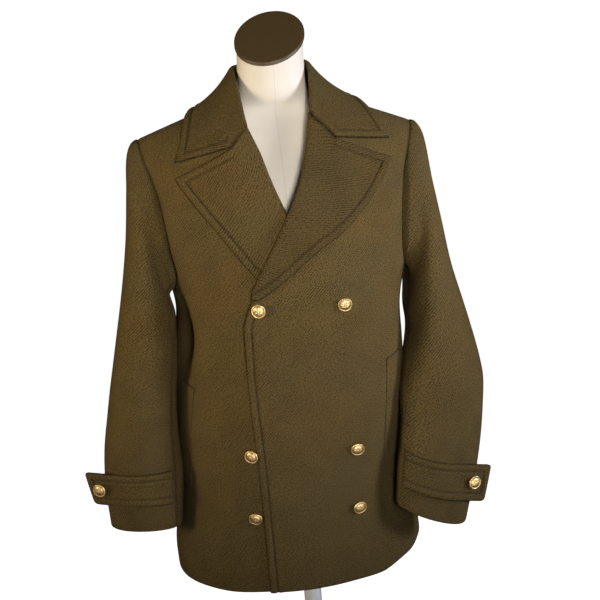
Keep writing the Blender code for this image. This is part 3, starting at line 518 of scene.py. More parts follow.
class CoatCloth(bpy.types.PropertyGroup):
    """Sizes and colours of the wool and its sewing."""

    cloth: FloatProperty(
        name="Cloth", description="Thickness of the wool", default=0.0024, unit="LENGTH"
    )
    lapel_cloth: FloatProperty(
        name="Lapel cloth", description="Thickness of the lapels and collar",
        default=0.0026, unit="LENGTH",
    )
    strap_cloth: FloatProperty(
        name="Strap cloth", description="Thickness of the cuff straps", default=0.0030, unit="LENGTH"
    )
    topstitch: FloatProperty(
        name="Topstitch", description="Distance of the stitching from an edge",
        default=0.0125, unit="LENGTH",
    )
    puff: FloatProperty(
        name="Puff", description="Swell of a stitched edge", default=0.0021, unit="LENGTH"
    )
    groove: FloatProperty(
        name="Groove", description="Depth of a row of stitches", default=0.0013, unit="LENGTH"
    )
    stitch: FloatProperty(
        name="Stitch", description="Length of one stitch", default=0.0042, unit="LENGTH"
    )
    thread: FloatProperty(
        name="Thread", description="Radius of the thread", default=0.00042, unit="LENGTH"
    )
    twill: FloatProperty(
        name="Twill", description="Distance between two ribs of the weave",
        default=0.0034, unit="LENGTH",
    )
    wool: FloatVectorProperty(
        name="Wool", description="Main colour of the yarn",
        default=(0.154, 0.106, 0.0370), subtype="COLOR",
    )
    # The wool's shade colour is also the base of the painted shade in grooves, seams and along cut edges.
    wool_dark: FloatVectorProperty(
        name="Wool shade", description="Colour between the ribs",
        default=(0.042, 0.028, 0.0080), subtype="COLOR",
    )
    wool_warm: FloatVectorProperty(
        name="Wool mottle", description="Warmer colour of patches",
        default=(0.182, 0.106, 0.0260), subtype="COLOR",
    )
    thread_colour: FloatVectorProperty(
        name="Thread colour", description="Colour of the sewing",
        default=(0.090, 0.060, 0.022), subtype="COLOR",
    )


class CoatTrim(bpy.types.PropertyGroup):
    """Colours of the buttons and the dress form."""

    gilt: FloatVectorProperty(
        name="Gilt", description="Colour of the buttons", default=(1.0, 0.74, 0.36), subtype="COLOR"
    )
    patina: FloatVectorProperty(
        name="Patina", description="Colour in the buttons' hollows",
        default=(0.46, 0.25, 0.075), subtype="COLOR",
    )
    cover: FloatVectorProperty(
        name="Cover", description="Colour of the form's cover",
        default=(0.96, 0.86, 0.71), subtype="COLOR",
    )
    cap: FloatVectorProperty(
        name="Cap", description="Colour of the neck cap", default=(0.092, 0.057, 0.020), subtype="COLOR"
    )
    stand: FloatVectorProperty(
        name="Stand", description="Colour of the pole and base",
        default=(0.86, 0.86, 0.85), subtype="COLOR",
    )


class CoatStage(bpy.types.PropertyGroup):
    """Light and camera."""

    key: FloatProperty(
        name="Key", description="Strength of the light at the wearer's left",
        default=196.0, unit="POWER",
    )
    fill: FloatProperty(
        name="Fill", description="Strength of the light at the wearer's right",
        default=140.0, unit="POWER",
    )
    front: FloatProperty(
        name="Front", description="Strength of the light by the camera", default=178.0, unit="POWER"
    )
    back: FloatProperty(
        name="Back", description="Strength of the light behind", default=150.0, unit="POWER"
    )
    card: FloatProperty(
        name="Card", description="Strength of the card that the metal mirrors",
        default=8.0, unit="POWER",
    )
    sky: FloatProperty(
        name="Sky", description="Strength of the light all round", default=0.015, min=0.0
    )
    lens: FloatProperty(name="Lens", description="Focal length", default=78.78, unit="CAMERA")
    distance: FloatProperty(
        name="Distance", description="Camera's distance from the axis", default=2.0, unit="LENGTH"
    )
    rise: FloatProperty(
        name="Rise", description="Camera's height above the hem", default=1.10, unit="LENGTH"
    )


def table(rows, columns):
    """A short table as a dictionary of arrays, one for each named column."""
    return dict(zip(columns, np.array(rows, float).T))


def cubic(t, first, leave, last, arrive):
    """A cubic from a first value to a last one, with a slope given at each end."""
    return (
        (1 + 2 * t) * (1 - t) ** 2 * first
        + t * (1 - t) ** 2 * leave
        + t * t * (3 - 2 * t) * last
        + t * t * (t - 1) * arrive
    )


def smooth(at, knots, values):
    """A cubic through a table's values, with slopes from their neighbours."""
    at = np.clip(at, knots[0], knots[-1])
    slopes = np.gradient(values, knots, axis=0)
    index = np.clip(np.searchsorted(knots, at) - 1, 0, len(knots) - 2)
    width = knots[index + 1] - knots[index]
    more = (...,) + (None,) * (np.ndim(values) - 1)
    t, width = ((at - knots[index]) / width)[more], width[more]
    return cubic(t, values[index], width * slopes[index], values[index + 1], width * slopes[index + 1])


def ease(t):
    """0 to 1 with level ends: three t squared less two t cubed."""
    t = np.clip(t, 0.0, 1.0)
    return t * t * (3 - 2 * t)


def past(value, ramp):
    """0 before a ramp's start and 1 after its run, eased between them."""
    start, run = ramp
    return ease((value - start) / run)


def bell(values, width):
    """1 at zero and less on both sides: e to the minus square of the value over the width."""
    return np.exp(-((values / width) ** 2))


def unit(vectors):
    """Vectors divided by their lengths."""
    return vectors / np.maximum(np.linalg.norm(vectors, axis=-1, keepdims=True), 1e-12)


def closing(knee, last, coarse, fine, power):
    """Even steps up to a knee, then finer ones up to the last value."""
    steps = np.linspace(0, 1, fine + 1)[1:] ** power
    return np.concatenate([np.linspace(0, knee, coarse), knee + (last - knee) * steps])


def between(at, knots, points):
    """Linear interpolation along a line of points."""
    return np.stack([np.interp(at, knots, column) for column in points.T], -1)


BODY_AT = table(BODY, BODY_COLUMNS)
ARMHOLE_AT = table(ARMHOLE, ARMHOLE_COLUMNS)


def body_size(name, height):
    """One column of the body table at a height."""
    return smooth(height, BODY_AT["height"], BODY_AT[name])


def shoulder(x):
    """The height of the shoulder line over x: level between the neck points, then a slope, softly begun."""
    slope = np.where(x < 0, SHOULDER_SLOPE[-1], SHOULDER_SLOPE[1])
    past = np.abs(x) - NECK_POINT[0]
    return NECK_POINT[1] - slope * 0.5 * (past + np.sqrt(past**2 + SHOULDER_SOFT**2))


def hem_height(x):
    """The hem's height over x: level, and caught up a little towards the wearer's left side."""
    return HEM_RISE * past(x, HEM_RISE_SIDE)


def level(v, x):
    """The height of row v over x: straight from the hem to 1, then a quarter circle to the shoulder at 2."""
    top = shoulder(x)
    hem = hem_height(x)
    dome = top - DOME * (1 - np.cos((2 - v) * np.pi / 2))
    return np.where(v <= 1, hem + (top - DOME - hem) * v, dome)


def dome_share(v):
    """The share of the body's depth at row v: whole up to 1, then a sine that falls to 0 at 2."""
    return np.where(v <= 1, 1.0, np.sin((2 - v) * np.pi / 2))


def folds(rows, turn, along):
    """Sum of soft ridges and troughs: each a depth times a bell both ways, leaning along its way."""
    bulge = 0.0 * turn
    for row in rows:
        fold = dict(zip(FOLD_COLUMNS, row))
        ahead = along - fold["along"]
        aside = np.degrees(turn) - fold["turn"] - fold["slant"] * ahead
        aside = (aside + 180) % 360 - 180
        bell = (aside / fold["half_turn"]) ** 2 + (ahead / fold["half_along"]) ** 2
        bulge = bulge + fold["depth"] * np.exp(-bell)
    return bulge


def on_body(turn, v):
    """The coat's middle surface: x by the turn's sine, y by a power of its cosine, plus folds and creases."""
    turn, v = np.broadcast_arrays(turn, v)
    x = FIRST_HALF * np.sin(turn)
    for _ in range(ROUNDS):
        height = level(v, x)
        x = body_size("centre", height) + body_size("half_width", height) * np.sin(turn)
    height = level(v, x)
    depth = np.where(np.cos(turn) >= 0, -body_size("front", height), body_size("back", height))
    y = depth * np.abs(np.cos(turn)) ** CHEST_FLATNESS * dome_share(v)
    bulge = folds(BODY_FOLDS + BODY_CREASES, turn, height)
    return np.stack([x + bulge * np.sin(turn), y - bulge * np.cos(turn), height], -1)


def body_normal(turn, v, step=0.004):
    """The outward normal: the cross product of two small steps on the surface."""
    across = on_body(turn + step, v) - on_body(turn - step, v)
    along = on_body(turn, v + step) - on_body(turn, v - step)
    return unit(np.cross(across, along))


def body(turn, v, lift=0.0):
    """A point of the middle surface, moved out along its normal by the lift."""
    turn, v = np.broadcast_arrays(turn, v)
    return on_body(turn, v) + body_normal(turn, v) * np.asarray(lift)[..., None]


def place(x, height):
    """The turn and the row of a front point, from its x and height: the formulas above turned round."""
    top = shoulder(x)
    rise = np.clip((top - height) / DOME, 0.0, None)
    domed = 2 - np.arccos(np.clip(1 - rise, -1.0, 1.0)) * 2 / np.pi
    hem = hem_height(x)
    v = np.where(rise >= 1, (height - hem) / (top - DOME - hem), domed)
    half = body_size("half_width", height)
    return np.arcsin(np.clip((x - body_size("centre", height)) / half, -1.0, 1.0)), v


def drape(x, y, lift):
    """The point of the middle surface over x and y, near the shoulder, moved out by the lift."""
    height = shoulder(x) - DRAPE_START
    for _ in range(DRAPE_ROUNDS):
        sine = (x - body_size("centre", height)) / body_size("half_width", height)
        turn = np.arcsin(np.clip(sine, -1, 1))
        depth = np.where(y < 0, body_size("front", height), body_size("back", height))
        share = np.clip(np.abs(y) / (depth * np.cos(turn) ** CHEST_FLATNESS), 0, DRAPE_MOST)
        height = shoulder(x) - DOME * (1 - np.sqrt(1 - share**2))
    v = 2 - np.arcsin(share) * 2 / np.pi
    return body(np.where(y < 0, turn, np.pi - turn), v, lift)


def side_turn(v, side, face):
    """The turn of the side seam below the armpit and of the armhole above it."""
    column = face if face == "back" else "front_left" if side > 0 else "front_right"
    x = side * FIRST_HALF
    for _ in range(ROUNDS):
        height = level(v, x)
        share = smooth(height, ARMHOLE_AT["height"], ARMHOLE_AT[column])
        share = np.where(height < ARMPIT, 1.0, np.clip(share, 0.0, 1.0))
        x = body_size("centre", height) + side * share * body_size("half_width", height)
    turn = np.arcsin(share)
    return side * (turn if face == "front" else np.pi - turn)


def armpit_row(side):
    """The row of the armhole's lowest point."""
    x = body_size("centre", np.array(ARMPIT)) + side * body_size("half_width", np.array(ARMPIT))
    rise = (shoulder(x) - ARMPIT) / DOME
    return float(2 - np.arccos(1 - rise) * 2 / np.pi)


def edge_turn(v, rows):
    """The turn of a front's free edge, given as x by height."""
    edge = table(rows, EDGE_COLUMNS)
    x = np.zeros_like(v)
    for _ in range(EDGE_ROUNDS):
        height = level(v, x)
        x = 0.5 * x + 0.5 * smooth(height, edge["height"], edge["x"])
    height = level(v, x)
    return np.arcsin((x - body_size("centre", height)) / body_size("half_width", height))


def over_lift(x, height):
    """How far the over front stands off, so that what it laps over fits beneath: two eased ramps."""
    lap = (1 - past(x, OVERLAP_SIDE)) * (1 - past(height, OVERLAP_TOP))
    tail = (1 - past(x, TAIL_SIDE)) * past(height, TAIL_LOW) * (1 - past(height, TAIL_TOP))
    return OVERLAP_LIFT * lap + TAIL_LIFT * tail


def lying(thick):
    """The distance from a panel's middle to the middle of a cloth that lies on it."""
    return bpy.context.scene.coat_cloth.cloth / 2 + thick / 2 + LAY


def grid_normals(grid):
    """Outward normals of a grid: the cross product of the steps across and along it."""
    return unit(np.cross(np.gradient(grid, axis=1), np.gradient(grid, axis=0)))


def row_interp(at, knots, values):
    """Linear interpolation in each row of an array."""
    index = (knots[:, None, :] <= at[:, :, None]).sum(-1).clip(1, knots.shape[1] - 1)
    low, high = np.take_along_axis(knots, index - 1, 1), np.take_along_axis(knots, index, 1)
    first, last = np.take_along_axis(values, index - 1, 1), np.take_along_axis(values, index, 1)
    return first + (last - first) * (at - low) / np.maximum(high - low, 1e-9)


def lengths(lines):
    """The length of each line of points up to each of its points."""
    steps = np.linalg.norm(np.diff(lines, axis=-2), axis=-1)
    return np.concatenate([0 * steps[..., :1], np.cumsum(steps, -1)], -1)


def spread(width, near, far, count):
    """Distances across each row: fixed ones by its two ends and even steps between them."""
    near, far = np.array(near), np.array(far)
    fit = np.minimum(1.0, MOST_EDGE * width / max(near[-1], far[-1]))[:, None]
    first, last = near * fit, width[:, None] - far[::-1] * fit
    t = np.linspace(0, 1, count + 2)[1:-1]
    return np.concatenate([first, first[:, -1:] + (last[:, :1] - first[:, -1:]) * t, last], 1)


def reach_from(grid, axis, end):
    """Distance of each point from an end line of the grid: the least to its pieces near the point's line."""
    lines = np.moveaxis(grid, axis, 1)
    edge = lines[:, 0 if end == 0 else -1]
    number = np.arange(len(edge))
    reach = np.full(lines.shape[:2], FAR)
    for step in range(-NEAR_LINES, NEAR_LINES):
        first = np.clip(number + step, 0, len(edge) - 2)
        way = (edge[first + 1] - edge[first])[:, None]
        apart = lines - edge[first][:, None]
        share = np.clip((apart * way).sum(-1) / np.maximum((way * way).sum(-1), 1e-12), 0, 1)
        reach = np.minimum(reach, np.linalg.norm(apart - way * share[..., None], axis=-1))
    return np.moveaxis(reach, 1, axis)


def at_reach(grid, reach, target):
    """The line of points of a grid at one distance from the edge that its columns start from."""
    index = (reach < target).sum(1).clip(1, reach.shape[1] - 1)[:, None]
    low, high = np.take_along_axis(reach, index - 1, 1), np.take_along_axis(reach, index, 1)
    t = np.clip((target - low) / np.maximum(high - low, 1e-9), 0, 1)[..., None]
    first = np.take_along_axis(grid, index[..., None] - 1, 1)
    last = np.take_along_axis(grid, index[..., None], 1)
    return (first + (last - first) * t)[:, 0]


def stitch_line(face, normals, reach, axis, end, beside, allowed=True):
    """The line of stitching along one edge, with its normals, as far as the stitching beside it."""
    topstitch = bpy.context.scene.coat_cloth.topstitch

    def on_line(values):
        """The values at the stitching's distance from the edge."""
        ordered = [np.moveaxis(part, axis, 1)[:, :: 1 - 2 * end] for part in (values, reach)]
        return at_reach(*ordered, topstitch)

    keep = allowed & (on_line(beside[..., None])[:, 0] > topstitch)
    return on_line(face)[keep], on_line(normals)[keep]


def shell(grid, normals, outer, inner):
    """Points and faces of a closed wall: a grid moved out and in along its normals, joined at its border."""
    rows, columns = grid.shape[:2]
    walls = [grid + normals * outer[..., None], grid - normals * inner[..., None]]
    points = np.concatenate([wall.reshape(-1, 3) for wall in walls])
    number = np.arange(rows * columns).reshape(rows, columns)
    corners = [number[:-1, :-1], number[:-1, 1:], number[1:, 1:], number[1:, :-1]]
    front = np.stack(corners, -1).reshape(-1, 4)
    back = (front + rows * columns)[:, ::-1]
    loop = np.concatenate([number[0, :], number[1:, -1], number[-1, -2::-1], number[-2:0:-1, 0]])
    ahead = np.roll(loop, -1)
    rim = np.stack([ahead, loop, loop + rows * columns, ahead + rows * columns], -1)
    return points, np.concatenate([front, back, rim])


def outward(points, faces):
    """Faces turned round together if the volume that they enclose is negative."""
    corner = points[faces]
    first = np.einsum("ij,ij->i", corner[:, 0], np.cross(corner[:, 1], corner[:, 2]))
    second = np.einsum("ij,ij->i", corner[:, 0], np.cross(corner[:, 2], corner[:, 3]))
    return faces if first.sum() + second.sum() > 0 else faces[:, ::-1]


def make_piece(name, points, faces, look, slot, uv=None, masks=None):
    """One mesh object at the origin, with its points lifted over the floor, smooth faces, a map and masks."""
    points = points + HEM_Z * UP
    faces = outward(points, faces)
    mesh = bpy.data.meshes.new(name)
    mesh.from_pydata(points.tolist(), [], faces.tolist())
    if mesh.validate():
        raise RuntimeError(name + " has faults in its mesh")
    mesh.polygons.foreach_set("use_smooth", np.ones(len(mesh.polygons), bool))
    if uv is not None:
        corners = np.empty(len(mesh.loops), np.int32)
        mesh.loops.foreach_get("vertex_index", corners)
        mesh.uv_layers.new(name="cloth").data.foreach_set("uv", uv[corners].astype(np.float32).ravel())
    for key, values in (masks or {}).items():
        attribute = mesh.attributes.new(key, "FLOAT", "POINT")
        attribute.data.foreach_set("value", values.astype(np.float32))
    mesh.materials.append(material(look))
    piece = bpy.data.objects.new(name, mesh)
    bpy.context.scene.collection.objects.link(piece)
    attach(piece, "root")
    return piece


def lip(reach, thick):
    """Half a wall's thickness, rounded off like a lip where the cloth ends."""
    share = np.clip((reach + LIP_START * thick) / (LIP_RUN * thick), 0, 1)
    return thick / 2 * np.sqrt(1 - (1 - share) ** 2)


def flat_map(grid):
    """The cloth's own map in metres: lengths across each row, and along the middle column."""
    across = lengths(grid)
    along = lengths(np.moveaxis(grid, 0, 1))[grid.shape[1] // 2][:, None] + 0 * across
    return np.stack([across, along], -1)


def ribbed(flat, angle):
    """A map turned so that the ribs of the twill run level in it."""
    sine, cosine = np.sin(np.radians(angle)), np.cos(np.radians(angle))
    across, along = flat[..., 0], flat[..., 1]
    return np.stack([across * cosine + along * sine, along * cosine - across * sine], -1)


def add_cloth(
    part, grid, edges, thick, angle, normals=None, flat=None, edge_shade=1.0, nap=0.0
):
    """A part's cloth on a middle grid: edges are stitched, plain or sewn, and puff, round off or sink in.

    The outer offset is the lip, plus a half wave as far as the stitching, less a bell along it and along
    seams. The groove mask paints shade into stitching, seams and turned lapels and collar, and the edge mask
    paints a shadow line along cut edges.
    """
    cloth = bpy.context.scene.coat_cloth
    normals = grid_normals(grid) if normals is None else normals
    stitched, ends, seams = (np.full(grid.shape[:2], FAR) for _ in range(3))
    for axis, end, kind, where in edges:
        reach = reach_from(grid, axis, end)
        ends = np.minimum(ends, reach)
        if kind == "stitched":
            stitched = np.minimum(stitched, np.where(where, reach, FAR))
        if kind == "sewn" or kind == "stitched":
            sewn = where if kind == "sewn" else ~np.asarray(where)
            seams = np.minimum(seams, np.where(sewn, reach, FAR))
    half = lip(ends, thick)
    beyond = stitched - cloth.topstitch
    band = np.sin(np.pi * np.clip(stitched / cloth.topstitch, 0, 1)) * cloth.puff
    press = bell(beyond, GROOVE_WIDTH)
    swell = SWELL_SHARE * cloth.puff * bell(beyond - SWELL_AT, SWELL_WIDTH)
    sink = bell(seams, SEAM_WIDTH)
    outer = half + band + swell - cloth.groove * press - SEAM_DEPTH * sink
    outer = np.maximum(outer, MOST_SINK * half)
    points, faces = shell(grid, normals, outer, half)
    uv = ribbed(flat_map(grid) if flat is None else flat, angle).reshape(-1, 2)
    inside = np.zeros(half.size)
    # Painted shade: darker in stitch grooves and seams, and over a whole turned lapel or collar by its nap
    # share.
    groove = nap + press + SEAM_SHADE * sink
    # Painted shadow: a dark line along each cut edge, where its rounded underside would be in shade.
    line = edge_shade * bell(ends, EDGE_SHADE_WIDTH) * (1 - sink)
    masks = {
        "groove": np.concatenate([groove.ravel(), inside]).clip(0, 1),
        "edge": np.concatenate([line.ravel(), inside]),
    }
    both = np.concatenate([uv, uv])
    piece = make_piece("cloth_" + part, points, faces, "olive_wool", "wool", both, masks)
    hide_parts(part)
    width = float(lengths(grid)[:, -1].max())
    length = float(lengths(np.moveaxis(grid, 0, 1))[:, -1].max())
    return grid + normals * outer[..., None], normals, stitched


def sew(name, lines):
    """Rows of stitches at even distances along lines of points that come with their normals."""
    cloth = bpy.context.scene.coat_cloth
    centres, ways, ups = [], [], []
    for path, normal in lines:
        length = lengths(path)
        count = max(1, int(length[-1] / cloth.stitch))
        at = (np.arange(count) + 0.5) * length[-1] / count
        ahead = between(np.minimum(at + STITCH_STEP, length[-1]), length, path)
        centres.append(between(at, length, path))
        ways.append(unit(ahead - between(at - STITCH_STEP, length, path)))
        ups.append(unit(between(at, length, normal)))
    make_stitches(name, *map(np.concatenate, (centres, ways, ups)), cloth.stitch * STITCH_HALF)


def make_stitches(name, centre, way, up, half):
    """Beads of thread at given centres: rings of six points at five places, dipping in at both ends."""
    radius = bpy.context.scene.coat_cloth.thread
    aside = unit(np.cross(up, way))
    at, wide, dip = table(STITCH, STITCH_COLUMNS).values()
    angle = np.arange(6)[:, None] * np.pi / 3
    axis = centre[:, None] + way[:, None] * (at * half)[:, None] + up[:, None] * (dip * radius)[:, None]
    ring = aside[:, None, None] * np.cos(angle) + up[:, None, None] * np.sin(angle)
    points = axis[:, :, None] + ring * (wide * radius)[:, None, None]
    number = np.arange(points.size // 3).reshape(points.shape[:3])
    ahead = np.roll(number, -1, 2)
    sides = np.stack([number[:, :-1], ahead[:, :-1], ahead[:, 1:], number[:, 1:]], -1).reshape(-1, 4)
    caps = [number[:, 0][:, [3, 2, 1, 0]], number[:, 0][:, [5, 4, 3, 0]]]
    caps += [number[:, -1][:, [0, 1, 2, 3]], number[:, -1][:, [0, 3, 4, 5]]]
    make_piece(name, points.reshape(-1, 3), np.concatenate([sides] + caps), "olive_thread", "wool")


def body_map(flat, v):
    """The map of a body panel: lengths across from the middle, and heights eased over the shoulder."""
    side = np.sign(flat[-1, -1, 0] - flat[-1, 0, 0])
    across = lengths(flat) + side * flat[:, :1, 0]
    return np.stack([across, flat[..., 2] + SHOULDER_RUN * (1 - dome_share(v))], -1)


def panel_rows(pit):
    """Rows of a body panel from hem to shoulder, with one at the armpit."""
    hem, top = np.array(PLAIN) / HEM_ROW, 2 - np.array(SEWN[::-1]) / SHOULDER_ROW
    low, high = np.linspace(hem[-1], pit, 90)[1:-1], np.linspace(pit, top[0], 62)
    return np.concatenate([hem, low, high, top[1:]])


def front_grid(side, edge_rows, over):
    """A front panel: rows from hem to shoulder, columns at fixed lengths from the free edge to the side."""
    rows = panel_rows(armpit_row(side))
    start, end = edge_turn(rows, edge_rows), side_turn(rows, side, "front")
    coarse = start[:, None] + (end - start)[:, None] * np.linspace(0, 1, 60)
    way = lengths(on_body(coarse, rows[:, None]))
    at = spread(way[:, -1], STITCHED if over else PLAIN, SEWN, 62)
    turn = row_interp(at, way, coarse)
    v = rows[:, None] + 0 * turn
    flat = on_body(turn, v)
    lift = over_lift(flat[..., 0], flat[..., 2]) if over else 0.0 * turn
    hollow = past(flat[..., 2], HOLLOW_LOW) * (1 - past(flat[..., 2], HOLLOW_TOP))
    lift = lift - HOLLOW_DEPTH * hollow * bell(way[:, -1:] - at, HOLLOW_WIDTH)
    return body(turn, v, lift), flat, body_map(flat, v)


def lapel_plan(edge_rows, outline, gorge, along, share):
    """A lapel's x and height: straight from roll line to outer edge, its top bent along gorge and notch."""
    edge = table(edge_rows, EDGE_COLUMNS)
    rim = table(outline, LAPEL_COLUMNS)
    low = rim["height"][0] + ROLL_START
    roll_z = low + (gorge["height"] - low) * along
    roll_x = smooth(roll_z, edge["height"], edge["x"])
    knots = np.linspace(0, 1, len(outline))
    rim_x = smooth(along, knots, rim["x"])
    rim_z = smooth(along, knots, rim["height"])
    x = roll_x[:, None] + (rim_x - roll_x)[:, None] * share
    z = roll_z[:, None] + (rim_z - roll_z)[:, None] * share
    notch_x, notch_z = gorge["notch"]
    at = (notch_x - roll_x[-1]) / (rim_x[-1] - roll_x[-1])
    dip = notch_z - (roll_z[-1] + (rim_z[-1] - roll_z[-1]) * at)
    bend = np.where(share < at, share / at, (1 - share) / (1 - at))
    z = z + dip * bend * past(along, GORGE_BEND)[:, None]
    return x, z, at


def lapel_grid(side, edge_rows, outline, gorge, over):
    """A lapel: it turns up round the roll line, then lies back on its front, lifted most beside the roll."""
    across, along = closing(0.86, 1.0, 58, 30, 0.9), closing(0.86, 1.0, 74, 30, 0.9)
    roll = table(ROLL, ROLL_COLUMNS)
    bend = np.linspace(0, len(ROLL) - 1, ROLL_STEPS)
    rolled = {name: smooth(bend, np.arange(float(len(ROLL))), roll[name]) for name in ROLL_COLUMNS}
    share = np.concatenate([np.zeros(ROLL_STEPS), across[1:]])
    x, z, notch = lapel_plan(edge_rows, outline, gorge, along, share[None, :])
    slope = np.gradient(x[:, 0], z[:, 0])
    tilt = np.hypot(1.0, slope)
    out = np.concatenate([rolled["out"], 0 * across[1:]])
    x = x - side * out / tilt[:, None]
    z = z + side * out * (slope / tilt)[:, None]
    rest = lying(bpy.context.scene.coat_cloth.lapel_cloth)
    lift = np.concatenate([rolled["rise"], rest + (ROLL_LIFT - rest) * (1 - across[1:]) ** 2])
    wide = np.hypot(x[:, -1] - x[:, ROLL_STEPS - 1], z[:, -1] - z[:, ROLL_STEPS - 1])
    wide = ease(wide / LAPEL_NARROW)
    wave = sum(depth * np.sin(along * pace + start) for depth, pace, start in LAPEL_WAVES)
    lift = lift[None, :] + LAPEL_FOOT * (1 - wide)[:, None]
    lift = lift + (LAPEL_TIP + wave)[:, None] * share[None, :] ** 3 * wide[:, None]
    if over:
        lift = lift + over_lift(x, z)
    return body(*place(x, z), lift), share > notch


def collar_side(side):
    """Half of the collar from the centre back: up from its foot, over the fold, and down a cubic to its edge.

    The fall's end lies on the front along notch and point, and no part of it goes below the shoulder.
    """
    stations = closing(4.6, 5.0, 42, 24, 0.9)
    at = table(COLLAR, COLLAR_COLUMNS)
    knots = np.arange(float(len(COLLAR)))
    value = {name: smooth(stations, knots, at[name]) for name in COLLAR_COLUMNS}
    drop = past(stations, COLLAR_DROP)[:, None] * np.array(COLLAR_END[side])
    fold = np.stack([side * value["fold_x"], value["fold_y"], value["fold_z"]], -1) + drop
    foot = np.stack([side * value["foot_x"], value["foot_y"], value["foot_z"]], -1) + drop
    rest = lying(bpy.context.scene.coat_cloth.lapel_cloth)
    edge = drape(side * value["edge_x"], value["edge_y"], rest + COLLAR_EASE + 0.0 * stations)
    out = unit(fold * np.array([1.0, 1.0, 0.0]))
    inner = fold - out * FOLD_INNER - UP * np.minimum(FOLD_DEEP, (fold - foot)[:, 2:3] * 0.5)
    outer = fold + out * FOLD_OUTER - UP * FOLD_DROP
    spaced = closing(0.80, 1.0, 48, 30, 0.95)
    leave = (out * FALL_OUT - UP * FALL_DOWN) * np.linalg.norm(edge - outer, axis=-1)[:, None] * FALL_START
    t = spaced[None, :, None]
    fall = cubic(t, outer[:, None], leave[:, None], edge[:, None], (edge - outer)[:, None])
    notch, point = np.array(COLLAR_NOTCH[side]), np.array(COLLAR_POINT[side])
    end = outer[-1, [0, 2]]
    first = np.clip(spaced / COLLAR_CUT, 0, 1)[:, None]
    second = np.clip((spaced - COLLAR_CUT) / (1 - COLLAR_CUT), 0, 1)[:, None]
    plan = end + (notch - end) * first + (point - notch) * second
    lift = rest + COLLAR_ROOT * (1 - spaced) ** 2 + COLLAR_EASE * spaced
    laid = body(*place(plan[:, 0], plan[:, 1]), lift)
    shift = (laid - fall[-1]) * ease(spaced * 4)[:, None]
    fall = fall + shift[None] * past(stations, COLLAR_LAY)[:, None, None]
    clear = drape(fall[..., 0], fall[..., 1], rest + COLLAR_EASE + 0 * fall[..., 0])
    low = past(np.abs(fall[..., 0]), CLEAR_SIDE) + past(fall[..., 1], CLEAR_BACK)
    raised = np.maximum(fall[..., 2], clear[..., 2])
    fall[..., 2] = fall[..., 2] + (raised - fall[..., 2]) * np.clip(low, 0, 1)
    guide = np.stack([foot, 0.5 * foot + 0.5 * inner, inner, fold, outer, fall[:, 8]])
    rise = np.linspace(0, 4, STAND_STEPS + 1)[:-1]
    stand = np.moveaxis(smooth(rise, np.arange(6.0), guide), 0, 1)
    free = np.concatenate([np.zeros(STAND_STEPS, bool), spaced > COLLAR_CUT])
    return np.concatenate([stand, fall], 1), free


def armhole(side, turns):
    """Points of the armhole: turn 0 is the shoulder tip, a quarter the front and a half the armpit."""
    v = 2 + (armpit_row(side) - 2) * np.linspace(0, 1, 200)
    share = np.abs(turns) / np.pi
    halves = []
    for face in ("front", "back"):
        points = body(side_turn(v, side, face), v)
        length = lengths(points)
        halves.append(between(share, length / length[-1], points))
    return np.where(turns[:, None] >= 0, *halves)


def last_station(side):
    """The number of the sleeve table's last row."""
    return len(SLEEVE[side]) - 1.0


def sleeve_ring(side, station, turns):
    """A ring of the sleeve: the turn's cosine from inner to outer edge, a power of its sine to the front."""
    at = table(SLEEVE[side], SLEEVE_COLUMNS)
    knots = np.arange(float(len(SLEEVE[side])))
    value = {name: smooth(station, knots, at[name]) for name in SLEEVE_COLUMNS}
    out = np.stack([side * value["out_x"], value["out_y"], value["out_z"]], -1)
    into = np.stack([side * value["in_x"], value["in_y"], value["in_z"]], -1)
    centre, half = (out + into) / 2, (out - into) / 2
    lean = value["lean"]
    ahead = np.stack([-side * lean, -np.sqrt(1 - lean**2), 0 * lean], -1)
    sine = np.sin(turns)
    bulge = np.sign(sine) * np.abs(sine) ** SLEEVE_FLATNESS
    return centre + half * np.cos(turns)[..., None] + ahead * (value["half_depth"] * bulge)[..., None]


def sleeve(side, station, turns):
    """A point of the sleeve: a cubic from armhole to first ring, then the rings, plus folds and creases."""
    station, turns = np.broadcast_arrays(np.asarray(station, float), turns)
    ring = sleeve_ring(side, np.clip(station, 0, None), turns)
    start = armhole(side, turns.ravel()).reshape(turns.shape + (3,))
    first = sleeve_ring(side, np.zeros_like(station), turns)
    ahead = (sleeve_ring(side, np.zeros_like(station) + RING_STEP, turns) - first) / RING_STEP
    apart = np.linalg.norm(first - start, axis=-1, keepdims=True)
    leave = np.array([side * 1.0, 0.0, 0.0]) * apart * CAP_REACH
    ahead = ahead * np.minimum(1.0, apart / np.linalg.norm(ahead, axis=-1, keepdims=True))
    joined = cubic(np.clip(station + 1, 0, 1)[..., None], start, leave, first, ahead)
    point = np.where(station[..., None] >= 0, ring, joined)
    bulge = folds(SLEEVE_FOLDS[side] + SLEEVE_CREASES[side], turns, station)
    away = np.stack([side * np.cos(turns), -np.sin(turns), 0 * turns], -1)
    return point + away * bulge[..., None]


def sleeve_normal(side, station, turns):
    """The outward normal of the sleeve: the cross product of two small steps on it."""
    across = sleeve(side, station, turns + RING_STEP) - sleeve(side, station, turns - RING_STEP)
    low = np.maximum(station - RING_STEP, -0.999)
    high = np.minimum(station + RING_STEP, last_station(side))
    along = sleeve(side, high, turns) - sleeve(side, low, turns)
    return unit(side * np.cross(across, along))


